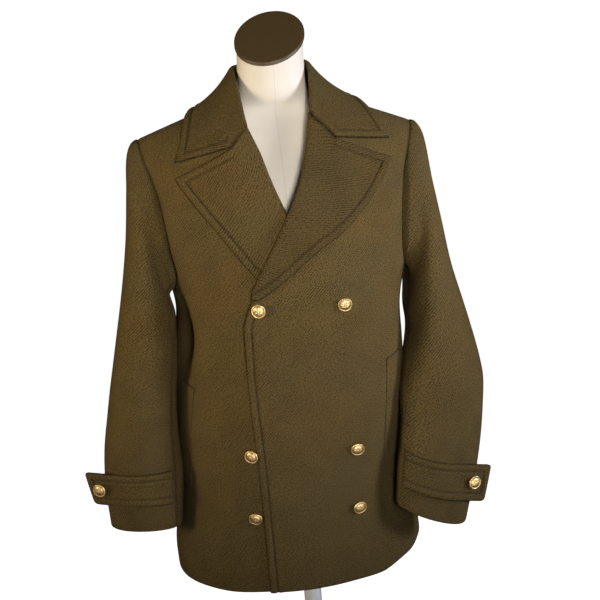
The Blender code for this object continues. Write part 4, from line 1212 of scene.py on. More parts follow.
def sleeve_grid(side, start, end, columns):
    """One of a sleeve's two lengths between its seams, from the armhole to the open cuff."""
    head = -1 + np.array(SEWN) / HEAD_ROW
    cuff = last_station(side) - np.array(PLAIN[::-1]) / CUFF_ROW
    middle = [np.linspace(head[-1], 0, 24)[1:], np.linspace(0, cuff[0], 120)[1:]]
    station = np.concatenate([head, *middle, cuff[1:]])[:, None]
    coarse = np.linspace(start, end, 80)[None, :] + 0 * station
    wrapped = np.where(coarse > np.pi, coarse - 2 * np.pi, coarse)
    way = lengths(sleeve(side, station + 0 * coarse, wrapped))
    turns = row_interp(spread(way[:, -1], SEWN, SEWN, columns), way, coarse)
    turns = np.where(turns > np.pi, turns - 2 * np.pi, turns)
    station = station + 0 * turns
    grid = sleeve(side, station, turns)
    normals = sleeve_normal(side, station, turns)
    deep = past(turns, TUCK_START) * (1 - past(turns, TUCK_END))
    run, depth, shift = (least + more * deep for least, more in (TUCK_RUN, TUCK_DEPTH, TUCK_SHIFT))
    tuck = 1 - ease((station + 1) / run)
    grid = grid - normals * (tuck * depth)[..., None]
    grid[..., 0] -= side * tuck * shift
    return grid, normals, sleeve_map(side, grid, turns)


def sleeve_map(side, grid, turns):
    """The map of a sleeve: the angle round the middle of its rings, times a mean radius, and the height."""
    at = table(SLEEVE[side], SLEEVE_COLUMNS)
    middle = {way: ((at["out_" + way] + at["in_" + way]) / 2)[::-1] for way in "xyz"}
    x = np.interp(grid[..., 2], middle["z"], middle["x"])
    y = np.interp(grid[..., 2], middle["z"], middle["y"])
    angle = np.arctan2(y - grid[..., 1], side * grid[..., 0] - x)
    angle = angle + 2 * np.pi * np.round((turns - angle) / (2 * np.pi))
    return np.stack([SLEEVE_RADIUS * angle, grid[..., 2]], -1)


def strap_grid(side):
    """A cuff strap: it follows the sleeve from the front seam, then leaves it straight to a free end."""
    at = dict(zip(STRAP_COLUMNS, STRAP[side]))
    begin, leave = STRAP_TURN[side]
    t, share = np.linspace(0, 1, 110), np.linspace(0, 1, 44)[:, None]
    bend = t * (1 + STRAP_BEND * (1 - t))
    low = at["seam_low"] + (at["leave_low"] - at["seam_low"]) * bend
    high = at["seam_top"] + (at["leave_top"] - at["seam_top"]) * bend
    station = low + (high - low) * share
    turns = begin + (leave - begin) * t + 0 * station
    lift = lying(bpy.context.scene.coat_cloth.strap_cloth)
    laid = sleeve(side, station, turns) + sleeve_normal(side, station, turns) * lift
    way = unit(unit(laid[:, -1] - laid[:, -9]).mean(0))
    wide = np.linalg.norm(laid[-1, -1] - laid[0, -1])
    off = np.clip(STRAP_CORNER - wide * np.minimum(share, 1 - share), 0, None)
    round_off = STRAP_CORNER - np.sqrt(STRAP_CORNER**2 - off**2)
    run = np.linspace(0, 1, 47)[1:] * (STRAP_REACH[side] + STRAP_SLANT[side] * share - round_off)
    grid = np.concatenate([laid, laid[:, -1:] + way * run[..., None]], 1)
    normals = grid_normals(grid)
    return grid, normals * np.sign(np.sum(normals * STRAP_FACING, -1).mean())


def welt_grid(side, over):
    """A pocket's upright welt: a slanted strip of its front's points, moved out."""
    size = dict(zip(WELT_COLUMNS, WELT[side]))
    along, across = np.linspace(0, 1, 90)[:, None], np.linspace(0, 1, 40)[None, :]
    turn = size["low_turn"] + (size["top_turn"] - size["low_turn"]) * along + side * WELT_TURN * across
    height = size["low_height"] + (size["top_height"] - size["low_height"]) * along + WELT_SLANT * across
    x = body_size("centre", height) + body_size("half_width", height) * np.sin(np.radians(turn))
    turn, v = place(x, height)
    lift = WELT_LIFT * bpy.context.scene.coat_cloth.cloth + (over_lift(x, height) if over else 0.0 * x)
    return body(turn, v, lift), body_normal(turn, v)


def button_relief(radius, angle, height):
    """Petals round a boss, two sunk rings, and beads on the rim: bells of the radius, some waved round."""
    bells = {name: depth * bell(radius - at, width) for name, (at, width, depth) in RELIEF.items()}
    petal = bells["petal"] * (np.abs(np.cos(4 * angle)) ** 0.7 - 0.35)
    bead = bells["bead"] * np.cos(28 * angle)
    return np.where(height > FACE_HEIGHT, petal + bells["boss"] + bells["ring"] + bells["moat"] + bead, 0.0)


def turned(profile, segments, centre, axis, up, relief=None):
    """Points and faces of a profile turned round an axis, with one point at each pole."""
    axis = unit(np.asarray(axis, float))
    first = unit(np.cross(up, axis))
    second = np.cross(axis, first)
    angle = np.linspace(0, 2 * np.pi, segments, endpoint=False)
    radius, height = profile[1:-1, 0][:, None], profile[1:-1, 1][:, None] + 0 * angle
    if relief is not None:
        height = height + relief(radius, angle[None, :], height)
    circle = np.cos(angle)[:, None] * first + np.sin(angle)[:, None] * second
    rings = centre + axis * height[..., None] + radius[..., None] * circle
    return capped(rings, centre + axis * profile[[0, -1], 1][:, None])


def capped(rings, ends):
    """Points and faces of stacked rings, closed by a point at the first one and a point at the last."""
    segments = rings.shape[1]
    points = np.concatenate([ends[:1], rings.reshape(-1, 3), ends[1:]])
    number = 1 + np.arange(len(points) - 2).reshape(-1, segments)
    ahead = np.roll(number, -1, 1)
    sides = np.stack([number[:-1], ahead[:-1], ahead[1:], number[1:]], -1).reshape(-1, 4)
    pairs = np.arange(0, segments, 2)
    far = (pairs + 2) % segments
    foot, top = np.zeros_like(pairs), np.full_like(pairs, len(points) - 1)
    low = np.stack([foot, number[0][far], number[0][pairs + 1], number[0][pairs]], -1)
    high = np.stack([top, number[-1][pairs], number[-1][pairs + 1], number[-1][far]], -1)
    return points, np.concatenate([low, sides, high])


def node(tree, kind, values=(), **settings):
    """Adds a shader node, sets its properties, and sets or links its inputs."""
    made = tree.nodes.new(kind)
    for key, value in settings.items():
        setattr(made, key, value)
    for key, value in dict(values).items():
        if isinstance(value, bpy.types.NodeSocket):
            tree.links.new(value, made.inputs[key])
        else:
            made.inputs[key].default_value = value
    return made


def calc(tree, operation, *values):
    """The output of a Math node."""
    return node(tree, "ShaderNodeMath", dict(enumerate(values)), operation=operation).outputs[0]


def times(tree, first, second):
    """The product of two values."""
    return calc(tree, "MULTIPLY", first, second)


def plus(tree, first, second):
    """The sum of two values."""
    return calc(tree, "ADD", first, second)


def noise(tree, vector, scale, detail=2.0, rough=0.5):
    """The value of a noise texture."""
    values = {"Vector": vector, "Scale": scale, "Detail": detail, "Roughness": rough}
    return node(tree, "ShaderNodeTexNoise", values).outputs[0]


def blend(tree, share, first, second):
    """A colour between two colours."""
    made = node(tree, "ShaderNodeMix", {0: share, 6: first, 7: second}, data_type="RGBA")
    return made.outputs[2]


def ramp(tree, value, low, high, to_low=0.0, to_high=1.0):
    """A value carried from one range to another and held at its ends."""
    values = {0: value, 1: low, 2: high, 3: to_low, 4: to_high}
    return node(tree, "ShaderNodeMapRange", values).outputs[0]


def position(tree):
    """The Object coordinates."""
    return node(tree, "ShaderNodeTexCoord").outputs["Object"]


def mask(tree, name):
    """The value of one of the piece's masks."""
    return node(tree, "ShaderNodeAttribute", attribute_name=name).outputs["Fac"]


def colour(values, share=1.0):
    """Three colour values times a share, with a full alpha."""
    return (*(np.array(values) * share), 1.0)


def group(name, inputs, outputs, build):
    """The shader node group of this name, with named sockets, built on its first use."""
    if name not in bpy.data.node_groups:
        tree = bpy.data.node_groups.new(name, "ShaderNodeTree")
        for way, sockets in (("INPUT", inputs), ("OUTPUT", outputs)):
            for socket, kind in sockets.items():
                tree.interface.new_socket(socket, in_out=way, socket_type="NodeSocket" + kind)
        given = tree.nodes.new("NodeGroupInput").outputs
        out = tree.nodes.new("NodeGroupOutput").inputs
        for socket, value in build(tree, given).items():
            tree.links.new(value, out[socket])
    return bpy.data.node_groups[name]


def twill(tree, given):
    """Woollen twill on a map in metres: level ribs that waver, cut into floats, with nap and patches."""
    where = given["Map"]
    across, along = node(tree, "ShaderNodeSeparateXYZ", {0: where}).outputs[:2]
    wander = times(tree, calc(tree, "SUBTRACT", noise(tree, where, 55.0), 0.5), 1.1)
    rib = plus(tree, calc(tree, "DIVIDE", along, given["Rib"]), wander)
    ridge = calc(tree, "SINE", times(tree, calc(tree, "FRACT", rib), np.pi))
    run = calc(tree, "DIVIDE", across, times(tree, given["Rib"], 1.25))
    run = plus(tree, run, times(tree, calc(tree, "FLOOR", rib), 0.37))
    strand = calc(tree, "SINE", times(tree, calc(tree, "FRACT", run), np.pi))
    nap = noise(tree, where, 1500.0, 3.0, 0.65)
    fleck = noise(tree, where, 420.0, 2.0, 0.6)
    patch = noise(tree, where, 9.0, 3.0, 0.55)
    yarn = times(tree, ridge, calc(tree, "MULTIPLY_ADD", strand, 0.55, 0.45))
    felted = ramp(tree, noise(tree, where, 24.0, 3.0), 0.38, 0.64, 0.45, 1.60)
    yarn = calc(tree, "MULTIPLY_ADD", calc(tree, "SUBTRACT", yarn, 0.51), felted, 0.54)
    tone = plus(tree, times(tree, yarn, 0.75), times(tree, nap, 0.55))
    tone = plus(tree, tone, times(tree, calc(tree, "SUBTRACT", fleck, 0.5), 3.2))
    warm = times(tree, ramp(tree, patch, 0.36, 0.64), given["Warmth"])
    main_colour = blend(tree, warm, given["Yarn"], given["Mottle"])
    return {
        "Color": blend(tree, ramp(tree, tone, 0.12, 0.95), given["Shade"], main_colour),
        "Height": plus(tree, times(tree, yarn, 0.7), times(tree, nap, 0.45)),
        "Roughness": ramp(tree, nap, 0.3, 0.7, 0.78, 0.95),
    }


def twill_group():
    """The node group of the woollen twill."""
    inputs = {"Map": "Vector", "Rib": "Float", "Warmth": "Float"}
    inputs |= {"Yarn": "Color", "Shade": "Color", "Mottle": "Color"}
    outputs = {"Color": "Color", "Height": "Float", "Roughness": "Float"}
    return group("wool_twill", inputs, outputs, twill)


def fine_wear(tree, given):
    """Fine wear: a broad value and a fine one."""
    return {
        "Patches": noise(tree, given["Vector"], given["Broad"], 4.0, 0.55),
        "Grain": noise(tree, given["Vector"], given["Fine"], 3.0, 0.6),
    }


def wear(tree, where, broad, fine):
    """The patches and the grain of fine wear, from its node group."""
    inputs = {"Vector": "Vector", "Broad": "Float", "Fine": "Float"}
    worn = group("fine_wear", inputs, {"Patches": "Float", "Grain": "Float"}, fine_wear)
    values = {"Vector": where, "Broad": broad, "Fine": fine}
    return node(tree, "ShaderNodeGroup", values, node_tree=worn).outputs[:2]


def link_look(tree, shader, tone, rough, height, strength, distance):
    """Links a look's colour, roughness and bump to its shader."""
    bump = node(tree, "ShaderNodeBump", {"Strength": strength, "Distance": distance, "Height": height})
    for socket, value in (("Base Color", tone), ("Roughness", rough), ("Normal", bump.outputs[0])):
        tree.links.new(value, shader.inputs[socket])


def wool(tree, shader):
    """Olive woollen twill with a soft sheen, with painted shade in stitched grooves, in seams, on turned
    lapels and collar, and along cut edges.
    """
    cloth = bpy.context.scene.coat_cloth
    height = node(tree, "ShaderNodeSeparateXYZ", {0: position(tree)}).outputs[2]
    values = {
        "Map": node(tree, "ShaderNodeUVMap", uv_map="cloth").outputs[0],
        "Rib": cloth.twill,
        # More warm mottle from near the hem up to the chest, so the cloth is greyer towards the hem.
        "Warmth": ramp(tree, height, HEM_Z + 0.12, HEM_Z + 0.42, 0.1, 0.6),
        "Yarn": colour(cloth.wool),
        "Shade": colour(cloth.wool_dark),
        "Mottle": colour(cloth.wool_warm),
    }
    tone, relief, rough = node(tree, "ShaderNodeGroup", values, node_tree=twill_group()).outputs[:3]
    # Painted shade from the groove mask: stitch grooves, seams, turned lapels and collar.
    tone = blend(tree, times(tree, mask(tree, "groove"), 0.52), tone, colour(cloth.wool_dark, 0.35))
    # Painted shadow line along cut edges, from the edge mask.
    tone = blend(tree, times(tree, mask(tree, "edge"), 0.90), tone, colour(cloth.wool_dark, 0.30))
    link_look(tree, shader, tone, rough, relief, 0.8, 0.0013)
    shader.inputs["Sheen Weight"].default_value = 0.05
    shader.inputs["Sheen Roughness"].default_value = 0.45
    shader.inputs["Sheen Tint"].default_value = (0.80, 0.60, 0.32, 1.0)
    shader.inputs["Specular IOR Level"].default_value = 0.10


def thread(tree, shader):
    """Twisted sewing thread, slightly darker than the wool."""
    base = bpy.context.scene.coat_cloth.thread_colour
    patches, grain = wear(tree, position(tree), 40.0, 2600.0)
    tone = blend(tree, grain, colour(base, 0.55), colour(base, 1.45))
    link_look(tree, shader, tone, ramp(tree, patches, 0.3, 0.7, 0.6, 0.8), grain, 0.5, 0.0002)


def gilt(tree, shader):
    """Gilt metal, worn bright on what stands out and dull brown in the hollows."""
    trim = bpy.context.scene.coat_trim
    patches, grain = wear(tree, position(tree), 260.0, 2400.0)
    hollow = mask(tree, "hollow")
    dull = times(tree, hollow, ramp(tree, patches, 0.25, 0.6, 0.75, 1.0))
    tone = blend(tree, dull, colour(trim.gilt), colour(trim.patina))
    rough = plus(tree, ramp(tree, patches, 0.3, 0.7, 0.26, 0.38), times(tree, hollow, 0.25))
    link_look(tree, shader, tone, rough, grain, 0.18, 0.0002)
    shader.inputs["Metallic"].default_value = 1.0


def cover(tree, shader):
    """Cream cover of the form: a fine plain weave, faint patches and a seam down the middle."""
    base = bpy.context.scene.coat_trim.cover
    where = position(tree)
    across, _, up = node(tree, "ShaderNodeSeparateXYZ", {0: where}).outputs
    patches, grain = wear(tree, where, 11.0, 900.0)
    weft, warp = (calc(tree, "SINE", times(tree, way, 5600.0)) for way in (up, across))
    weave = times(tree, times(tree, weft, warp), 0.25)
    seam = ramp(tree, calc(tree, "ABSOLUTE", across), 0.0002, 0.0011, 1.0, 0.0)
    height = calc(tree, "SUBTRACT", plus(tree, weave, grain), times(tree, seam, 1.6))
    patched = colour(base, np.array([0.94, 0.93, 0.91]))
    tone = blend(tree, ramp(tree, patches, 0.35, 0.7), colour(base), patched)
    tone = blend(tree, times(tree, seam, 0.22), tone, colour(base, 0.55))
    link_look(tree, shader, tone, ramp(tree, grain, 0.3, 0.7, 0.55, 0.72), height, 0.25, 0.0004)


def cap_wood(tree, shader):
    """Dark stained wood of the neck cap, with long grain."""
    base = bpy.context.scene.coat_trim.cap
    where = node(tree, "ShaderNodeMapping", {"Vector": position(tree), "Scale": (1.0, 9.0, 3.0)}).outputs[0]
    patches, grain = wear(tree, where, 26.0, 190.0)
    tone = blend(tree, ramp(tree, grain, 0.3, 0.7), colour(base, 0.78), colour(base, 1.25))
    link_look(tree, shader, tone, ramp(tree, patches, 0.3, 0.7, 0.40, 0.55), grain, 0.15, 0.0004)


def stand_metal(tree, shader):
    """Pale satin paint on the pole and base, with a fine orange-peel grain and faint scuffs."""
    base = bpy.context.scene.coat_trim.stand
    patches, grain = wear(tree, position(tree), 16.0, 700.0)
    tone = blend(tree, ramp(tree, patches, 0.35, 0.75), colour(base), colour(base, 0.88))
    link_look(tree, shader, tone, ramp(tree, patches, 0.3, 0.7, 0.34, 0.48), grain, 0.12, 0.0003)


def pale_floor(tree, shader):
    """Matt white floor that glows evenly, so that it shows no horizon."""
    tone = blend(tree, noise(tree, position(tree), 0.6), colour((0.93,) * 3), colour((0.96,) * 3))
    tree.links.new(tone, shader.inputs["Base Color"])
    shader.inputs["Emission Color"].default_value = (1.0, 1.0, 1.0, 1.0)
    shader.inputs["Roughness"].default_value = 0.9
    shader.inputs["Specular IOR Level"].default_value = 0.0
    shader.inputs["Emission Strength"].default_value = 1.0


LOOKS = {
    "olive_wool": wool,
    "olive_thread": thread,
    "gilt_metal": gilt,
    "cream_cover": cover,
    "dark_wood": cap_wood,
    "pale_paint": stand_metal,
    "pale_floor": pale_floor,
}


def material(name):
    """The material of this name, built on its first use."""
    if name not in bpy.data.materials:
        made = bpy.data.materials.new(name)
        made.use_nodes = True
        LOOKS[name](made.node_tree, made.node_tree.nodes["Principled BSDF"])
    return bpy.data.materials[name]


class COAT_OT_back(bpy.types.Operator):
    """Makes the back panel, from side seam to side seam, cut out at the armholes and the neck."""

    bl_idname = "coat.back"
    bl_label = "Back"

    def execute(self, context):
        pit = armpit_row(1)
        rows = panel_rows(pit)[:, None]
        left, right = side_turn(rows, -1, "back"), side_turn(rows, 1, "back")
        coarse = right + (2 * np.pi + left - right) * np.linspace(0, 1, 120)[None, :]
        way = lengths(on_body(coarse, rows))
        turn = row_interp(spread(way[:, -1], SEWN, SEWN, 96), way, coarse)
        aside = TOP_HALF * np.sin(turn) / (NECK_POINT[0] + NECK_EASE)
        neck = BACK_NECK * np.sqrt(np.clip(1 - aside**2, 0, 1))
        share = neck / (TOP_DEPTH * np.abs(np.cos(turn)) ** CHEST_FLATNESS)
        top = 2 - np.arcsin(np.clip(share, 0, 0.9)) * 2 / np.pi
        v = np.where(rows > pit, pit + (rows - pit) * (top[-1:] - pit) / (2 - pit), rows)
        grid = body(turn, v)
        way = lengths(grid)
        ribs = np.stack([way - way[:, way.shape[1] // 2, None], body_map(grid, v)[..., 1]], -1)
        edges = ((0, 0, "plain", True), (0, 1, "sewn", True), (1, 0, "sewn", True), (1, 1, "sewn", True))
        thick = context.scene.coat_cloth.cloth
        add_cloth("back", grid, edges, thick, 48, flat=ribs)
        return {"FINISHED"}


class COAT_OT_fronts(bpy.types.Operator):
    """Makes the over front with its stitched edge and buttonhole, and the under front."""

    bl_idname = "coat.fronts"
    bl_label = "Fronts"

    def execute(self, context):
        cloth = context.scene.coat_cloth
        grid, _, ribs = front_grid(-1, UNDER_EDGE, False)
        seams = ((0, 0, "plain", True), (0, 1, "sewn", True), (1, 1, "sewn", True))
        edges = seams + ((1, 0, "plain", True),)
        outside = -grid_normals(grid)
        add_cloth("front_right", grid, edges, cloth.cloth, 132, normals=outside, flat=ribs)
        grid, flat, ribs = front_grid(1, OVER_EDGE, True)
        edges = seams + ((1, 0, "stitched", flat[..., 2] < STITCHED_BELOW),)
        face, normals, reach = add_cloth("front_left", grid, edges, cloth.cloth, 48, flat=ribs)
        line = [at_reach(values, reach, cloth.topstitch) for values in (face, normals)]
        first, last = FRONT_SEWING
        height = flat[:, 0, 2]
        keep = (height < last) & (height > first)
        sew("sewing_front", [[values[keep] for values in line]])
        self.buttonhole(face, normals, flat)
        return {"FINISHED"}

    def buttonhole(self, face, normals, flat):
        """A bound slit beside the top button: short bars of thread in two rows and a fan at its end."""
        start = np.array(BUTTONS[0][:2]) + HOLE_START
        t = np.linspace(0, 1, HOLE_BARS)
        angle = t * np.pi - np.pi / 2
        fan = np.stack([np.cos(angle), np.sin(angle)], -1)
        rows = [np.stack([HOLE_LENGTH * t, half + 0 * t], -1) for half in (HOLE_HALF, -HOLE_HALF)]
        aim = start + np.concatenate(rows + [(HOLE_LENGTH, 0.0) + HOLE_FAN * fan])
        plan = flat[..., [0, 2]].reshape(-1, 2)
        nearest = np.argmin(((plan[None] - aim[:, None]) ** 2).sum(-1), 1)
        normal = normals.reshape(-1, 3)[nearest]
        away = aim - plan[nearest]
        point = face.reshape(-1, 3)[nearest] + np.insert(away, 1, 0.0, -1)
        way = np.concatenate([np.tile(UP, (2 * HOLE_BARS, 1)), np.insert(fan, 1, 0.0, -1)])
        way = unit(way - normal * (way * normal).sum(-1, keepdims=True))
        make_stitches("sewing_buttonhole", point + normal * HOLE_LIFT, way, normal, HOLE_BAR)


class COAT_OT_lapels(bpy.types.Operator):
    """Makes both lapels with their rolled fold, notch and stitched edge."""

    bl_idname = "coat.lapels"
    bl_label = "Lapels"

    def execute(self, context):
        thick = context.scene.coat_cloth.lapel_cloth
        for name, side, edge_rows, outline, gorge, over, ribs in (
            ("left", 1, OVER_EDGE, OVER_LAPEL, OVER_GORGE, True, 26),
            ("right", -1, UNDER_EDGE, UNDER_LAPEL, UNDER_GORGE, False, 138),
        ):
            grid, free = lapel_grid(side, edge_rows, outline, gorge, over)
            normals = grid_normals(grid) * side
            free = np.broadcast_to(free[None, :], grid.shape[:2])
            whole = np.ones_like(free)
            edges = ((1, 1, "stitched", whole), (0, 1, "stitched", free), (0, 0, "plain", True))
            face, normals, _ = add_cloth(
                "lapel_" + name, grid, edges, thick, ribs,
                normals=normals, nap=LAPEL_PAINTED_SHADE[side],
            )
            outer, top = reach_from(grid, 1, 1), reach_from(grid, 0, 1)
            lines = [
                stitch_line(face, normals, outer, 1, 1, top),
                stitch_line(face, normals, top, 0, 1, outer, free[0]),
            ]
            sew("sewing_lapel_" + name, lines)
        return {"FINISHED"}


class COAT_OT_collar(bpy.types.Operator):
    """Makes the collar, folded over round the neck and stitched along its edge and its two ends."""

    bl_idname = "coat.collar"
    bl_label = "Collar"

    def execute(self, context):
        thick = context.scene.coat_cloth.lapel_cloth
        left, free = collar_side(-1)
        right, _ = collar_side(1)
        grid = np.concatenate([left[::-1], right[1:]])
        free = np.broadcast_to(free[None, :], grid.shape[:2])
        whole = np.ones_like(free)
        edges = ((1, 1, "stitched", whole), (0, 0, "stitched", free), (0, 1, "stitched", free))
        edges += ((1, 0, "sewn", True),)
        face, normals, _ = add_cloth(
            "collar", grid, edges, thick, 8,
            normals=-grid_normals(grid), nap=COLLAR_PAINTED_SHADE,
        )
        outer, first, last = reach_from(grid, 1, 1), reach_from(grid, 0, 0), reach_from(grid, 0, 1)
        lines = [
            stitch_line(face, normals, outer, 1, 1, np.minimum(first, last)),
            stitch_line(face, normals, first, 0, 0, outer, free[0]),
            stitch_line(face, normals, last, 0, 1, outer, free[0]),
        ]
        sew("sewing_collar", lines)
        return {"FINISHED"}


class COAT_OT_sleeves(bpy.types.Operator):
    """Makes the two lengths of each sleeve."""

    bl_idname = "coat.sleeves"
    bl_label = "Sleeves"

    def execute(self, context):
        thick = context.scene.coat_cloth.cloth
        edges = ((0, 0, "sewn", True), (0, 1, "plain", True), (1, 0, "sewn", True), (1, 1, "sewn", True))
        for side, name in SIDES:
            back, front = SEAM_BACK[side], SEAM_FRONT[side]
            parts = (("upper", back, front, 64), ("under", front, back + 2 * np.pi, 40))
            for part, start, end, columns in parts:
                grid, normals, flat = sleeve_grid(side, start, end, columns)
                add_cloth(
                    f"sleeve_{part}_{name}", grid, edges, thick, 132 if side > 0 else 48,
                    normals=normals, flat=flat,
                )
        return {"FINISHED"}


class COAT_OT_straps(bpy.types.Operator):
    """Makes the cuff straps, stitched all round, with their free ends standing off."""

    bl_idname = "coat.straps"
    bl_label = "Cuff straps"

    def execute(self, context):
        thick = context.scene.coat_cloth.strap_cloth
        for side, name in SIDES:
            grid, normals = strap_grid(side)
            whole = np.ones(grid.shape[:2], bool)
            edges = tuple((axis, end, "stitched", whole) for axis, end in ((0, 0), (0, 1), (1, 1)))
            edges += ((1, 0, "sewn", whole),)
            face, normals, _ = add_cloth(
                "cuff_strap_" + name, grid, edges, thick, 90 - 45 * side,
                normals=normals,
            )
            low, high, tip = reach_from(grid, 0, 0), reach_from(grid, 0, 1), reach_from(grid, 1, 1)
            lines = [
                stitch_line(face, normals, low, 0, 0, tip),
                stitch_line(face, normals, high, 0, 1, tip),
                stitch_line(face, normals, tip, 1, 1, np.minimum(low, high)),
            ]
            sew("sewing_cuff_strap_" + name, lines)
        return {"FINISHED"}


class COAT_OT_pockets(bpy.types.Operator):
    """Makes the upright pocket welts, pressed flat into the fronts, with a painted shadow line along their
    edges, clear only at the top.
    """

    bl_idname = "coat.pockets"
    bl_label = "Pockets"

    def execute(self, context):
        thick = context.scene.coat_cloth.cloth
        edges = tuple((axis, end, "plain", True) for axis in (0, 1) for end in (0, 1))
        for side, name in SIDES:
            grid, normals = welt_grid(side, side > 0)
            drop = grid[..., 2].max(0) - grid[..., 2]
            add_cloth(
                "pocket_welt_" + name, grid, edges, thick, 48 if side > 0 else 132,
                normals=normals, edge_shade=0.25 + 0.75 * bell(drop, WELT_SHADE_WIDTH),
            )
        return {"FINISHED"}


class COAT_OT_buttons(bpy.types.Operator):
    """Makes the gilt shank buttons: a beaded rim round a plain rosette."""

    bl_idname = "coat.buttons"
    bl_label = "Buttons"

    def execute(self, context):
        cloth = context.scene.coat_cloth
        for number, row in enumerate(BUTTONS, 1):
            at = dict(zip(BUTTON_COLUMNS, row))
            x, height = np.array(at["x"]), np.array(at["height"])
            turn, v = place(x, height)
            lift = cloth.cloth / 2 + GAP + (over_lift(x, height) if at["over"] else 0.0)
            seat = body(turn, v, lift)
            self.button(f"button_{number}", seat, body_normal(turn, v), at["droop"], at["yaw"])
        for side, name in ((-1, "cuff_button_right"), (1, "cuff_button_left")):
            grid, normals = strap_grid(side)
            middle = grid.shape[0] // 2
            way = lengths(grid[middle])
            at = int(np.argmin(np.abs(way - (way[-1] - STRAP_BUTTON[side]))))
            normal = normals[middle, at]
            seat = grid[middle, at] + normal * (cloth.strap_cloth / 2 + GAP)
            self.button(name, seat, normal, CUFF_DROOP, CUFF_YAW * side)
        return {"FINISHED"}

    def button(self, name, seat, normal, droop, yaw):
        """One button, leaning on its shank by a droop and a yaw."""
        turn = Matrix.Rotation(np.radians(yaw), 3, "Z") @ Matrix.Rotation(np.radians(droop), 3, "X")
        rough = np.array(BUTTON_PROFILE)
        last = len(rough) - 1.0
        fine = np.append(np.linspace(0, last, 7 * (len(rough) - 1), endpoint=False), last)
        soft = between(fine, np.arange(float(len(rough))), rough)
        profile = soft.copy()
        profile[1:-1] = (soft[:-2] + 2 * soft[1:-1] + soft[2:]) / 4
        points, faces = turned(
            profile, BUTTON_SEGMENTS, seat, np.array(turn) @ normal, BUTTON_UP, button_relief
        )
        angle = np.linspace(0, 2 * np.pi, BUTTON_SEGMENTS, endpoint=False)[None, :]
        radius, height = profile[1:-1, 0][:, None], profile[1:-1, 1][:, None] + 0 * angle
        hollow = np.clip(0.35 - button_relief(radius, angle, height) / RELIEF_DEPTH, 0, 1)
        hollow = np.where(height > FACE_HEIGHT, hollow, 0.5)
        masks = {"hollow": np.concatenate([[1.0], hollow.ravel(), [0.0]])}
        piece = make_piece("gilt_" + name, points, faces, "gilt_metal", "button_metal", masks=masks)
        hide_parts(name)


class COAT_OT_form(bpy.types.Operator):
    """Makes the dress form: covered body, wooden neck cap, pole and round base."""

    bl_idname = "coat.form"
    bl_label = "Dress form"

    def execute(self, context):
        angle = np.linspace(0, 2 * np.pi, 96, endpoint=False)
        at = table(FORM, FORM_COLUMNS)
        low, high = np.linspace(0.034, 0.640, 70), np.linspace(0.640, 0.800, 60)[1:]
        height = np.concatenate([[0.030, 0.0304, 0.0315], low, high])
        size = {name: smooth(height, at["height"], at[name])[:, None] for name in FORM_COLUMNS}
        shrink = 1 - FORM_EDGE * (1 - past(height, FORM_FOOT))[:, None]
        depth = np.where(np.sin(angle) < 0, size["front"], size["back"])
        x, y = size["half_width"] * np.cos(angle) * shrink, depth * np.sin(angle) * shrink
        rings = np.stack([x, y, size["height"] + 0 * angle], -1)
        neck = self.slanted(NECK_RADIUS, -GAP, angle)
        rise = np.linspace(0, 1, 12)[1:, None, None]
        rings = np.concatenate([rings, rings[-1] + (neck - rings[-1]) * rise])
        piece = make_piece("form_cover", *self.closed(rings), "cream_cover", "form_cover")
        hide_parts("form_body")
        turn = np.linspace(0, np.pi / 2, 7)
        sine, cosine = CAP_SOFT * np.sin(turn), CAP_SOFT * np.cos(turn)
        low = zip(CAP_RADIUS - CAP_SOFT + sine, CAP_SOFT - cosine)
        high = zip(CAP_RADIUS - CAP_SOFT + cosine, CAP_THICK - CAP_SOFT + sine)
        inner = [(CAP_RADIUS * share, CAP_THICK) for share in (0.8, 0.5, 0.2)]
        rings = np.stack([self.slanted(radius, rise, angle) for radius, rise in [*low, *high, *inner]])
        piece = make_piece("neck_cap", *self.closed(rings), "dark_wood", "cap_wood")
        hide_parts("form_cap")
        foot, top = BASE_THICK + GAP, FORM[0][0] + HEM_Z - GAP
        pole = [(radius, foot + rise) for radius, rise in POLE_FOOT]
        pole += [(POLE_RADIUS, top - POLE_SOFT), (POLE_RADIUS - POLE_SOFT, top), (0.0, top)]
        piece = make_piece("stand_pole", *self.upright(pole, 64), "pale_paint", "stand_metal")
        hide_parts("form_pole")
        sine, cosine = BASE_SOFT * np.sin(turn), BASE_SOFT * np.cos(turn)
        base = [(0.0, 0.0), (BASE_RADIUS - BASE_BEVEL, 0.0), (BASE_RADIUS, BASE_BEVEL)]
        base += [*zip(BASE_RADIUS - BASE_SOFT + cosine, BASE_THICK - BASE_SOFT + sine)]
        base += [(BASE_MIDDLE, BASE_THICK), (0.0, BASE_THICK)]
        piece = make_piece("stand_base", *self.upright(base, 128), "pale_paint", "stand_metal")
        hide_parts("form_base")
        return {"FINISHED"}

    def closed(self, rings):
        """Stacked rings, closed by a point in the middle of the first and of the last."""
        return capped(rings, np.stack([rings[0].mean(0), rings[-1].mean(0)]))

    def upright(self, profile, segments):
        """A profile turned about the upright axis, from the floor."""
        return turned(np.array(profile), segments, -HEM_Z * UP, UP, np.array([0.0, 1.0, 0.0]))

    def slanted(self, radius, rise, angle):
        """A ring of the neck's slanted end: a circle whose height follows a tilted plane."""
        x = CAP_CENTRE[0] + radius * np.cos(angle)
        y = CAP_CENTRE[1] + radius * np.sin(angle)
        z = CAP_CENTRE[2] + rise + CAP_TILT[0] * (x - CAP_CENTRE[0]) + CAP_TILT[1] * (y - CAP_CENTRE[1])
        return np.stack([x, y, z], -1)


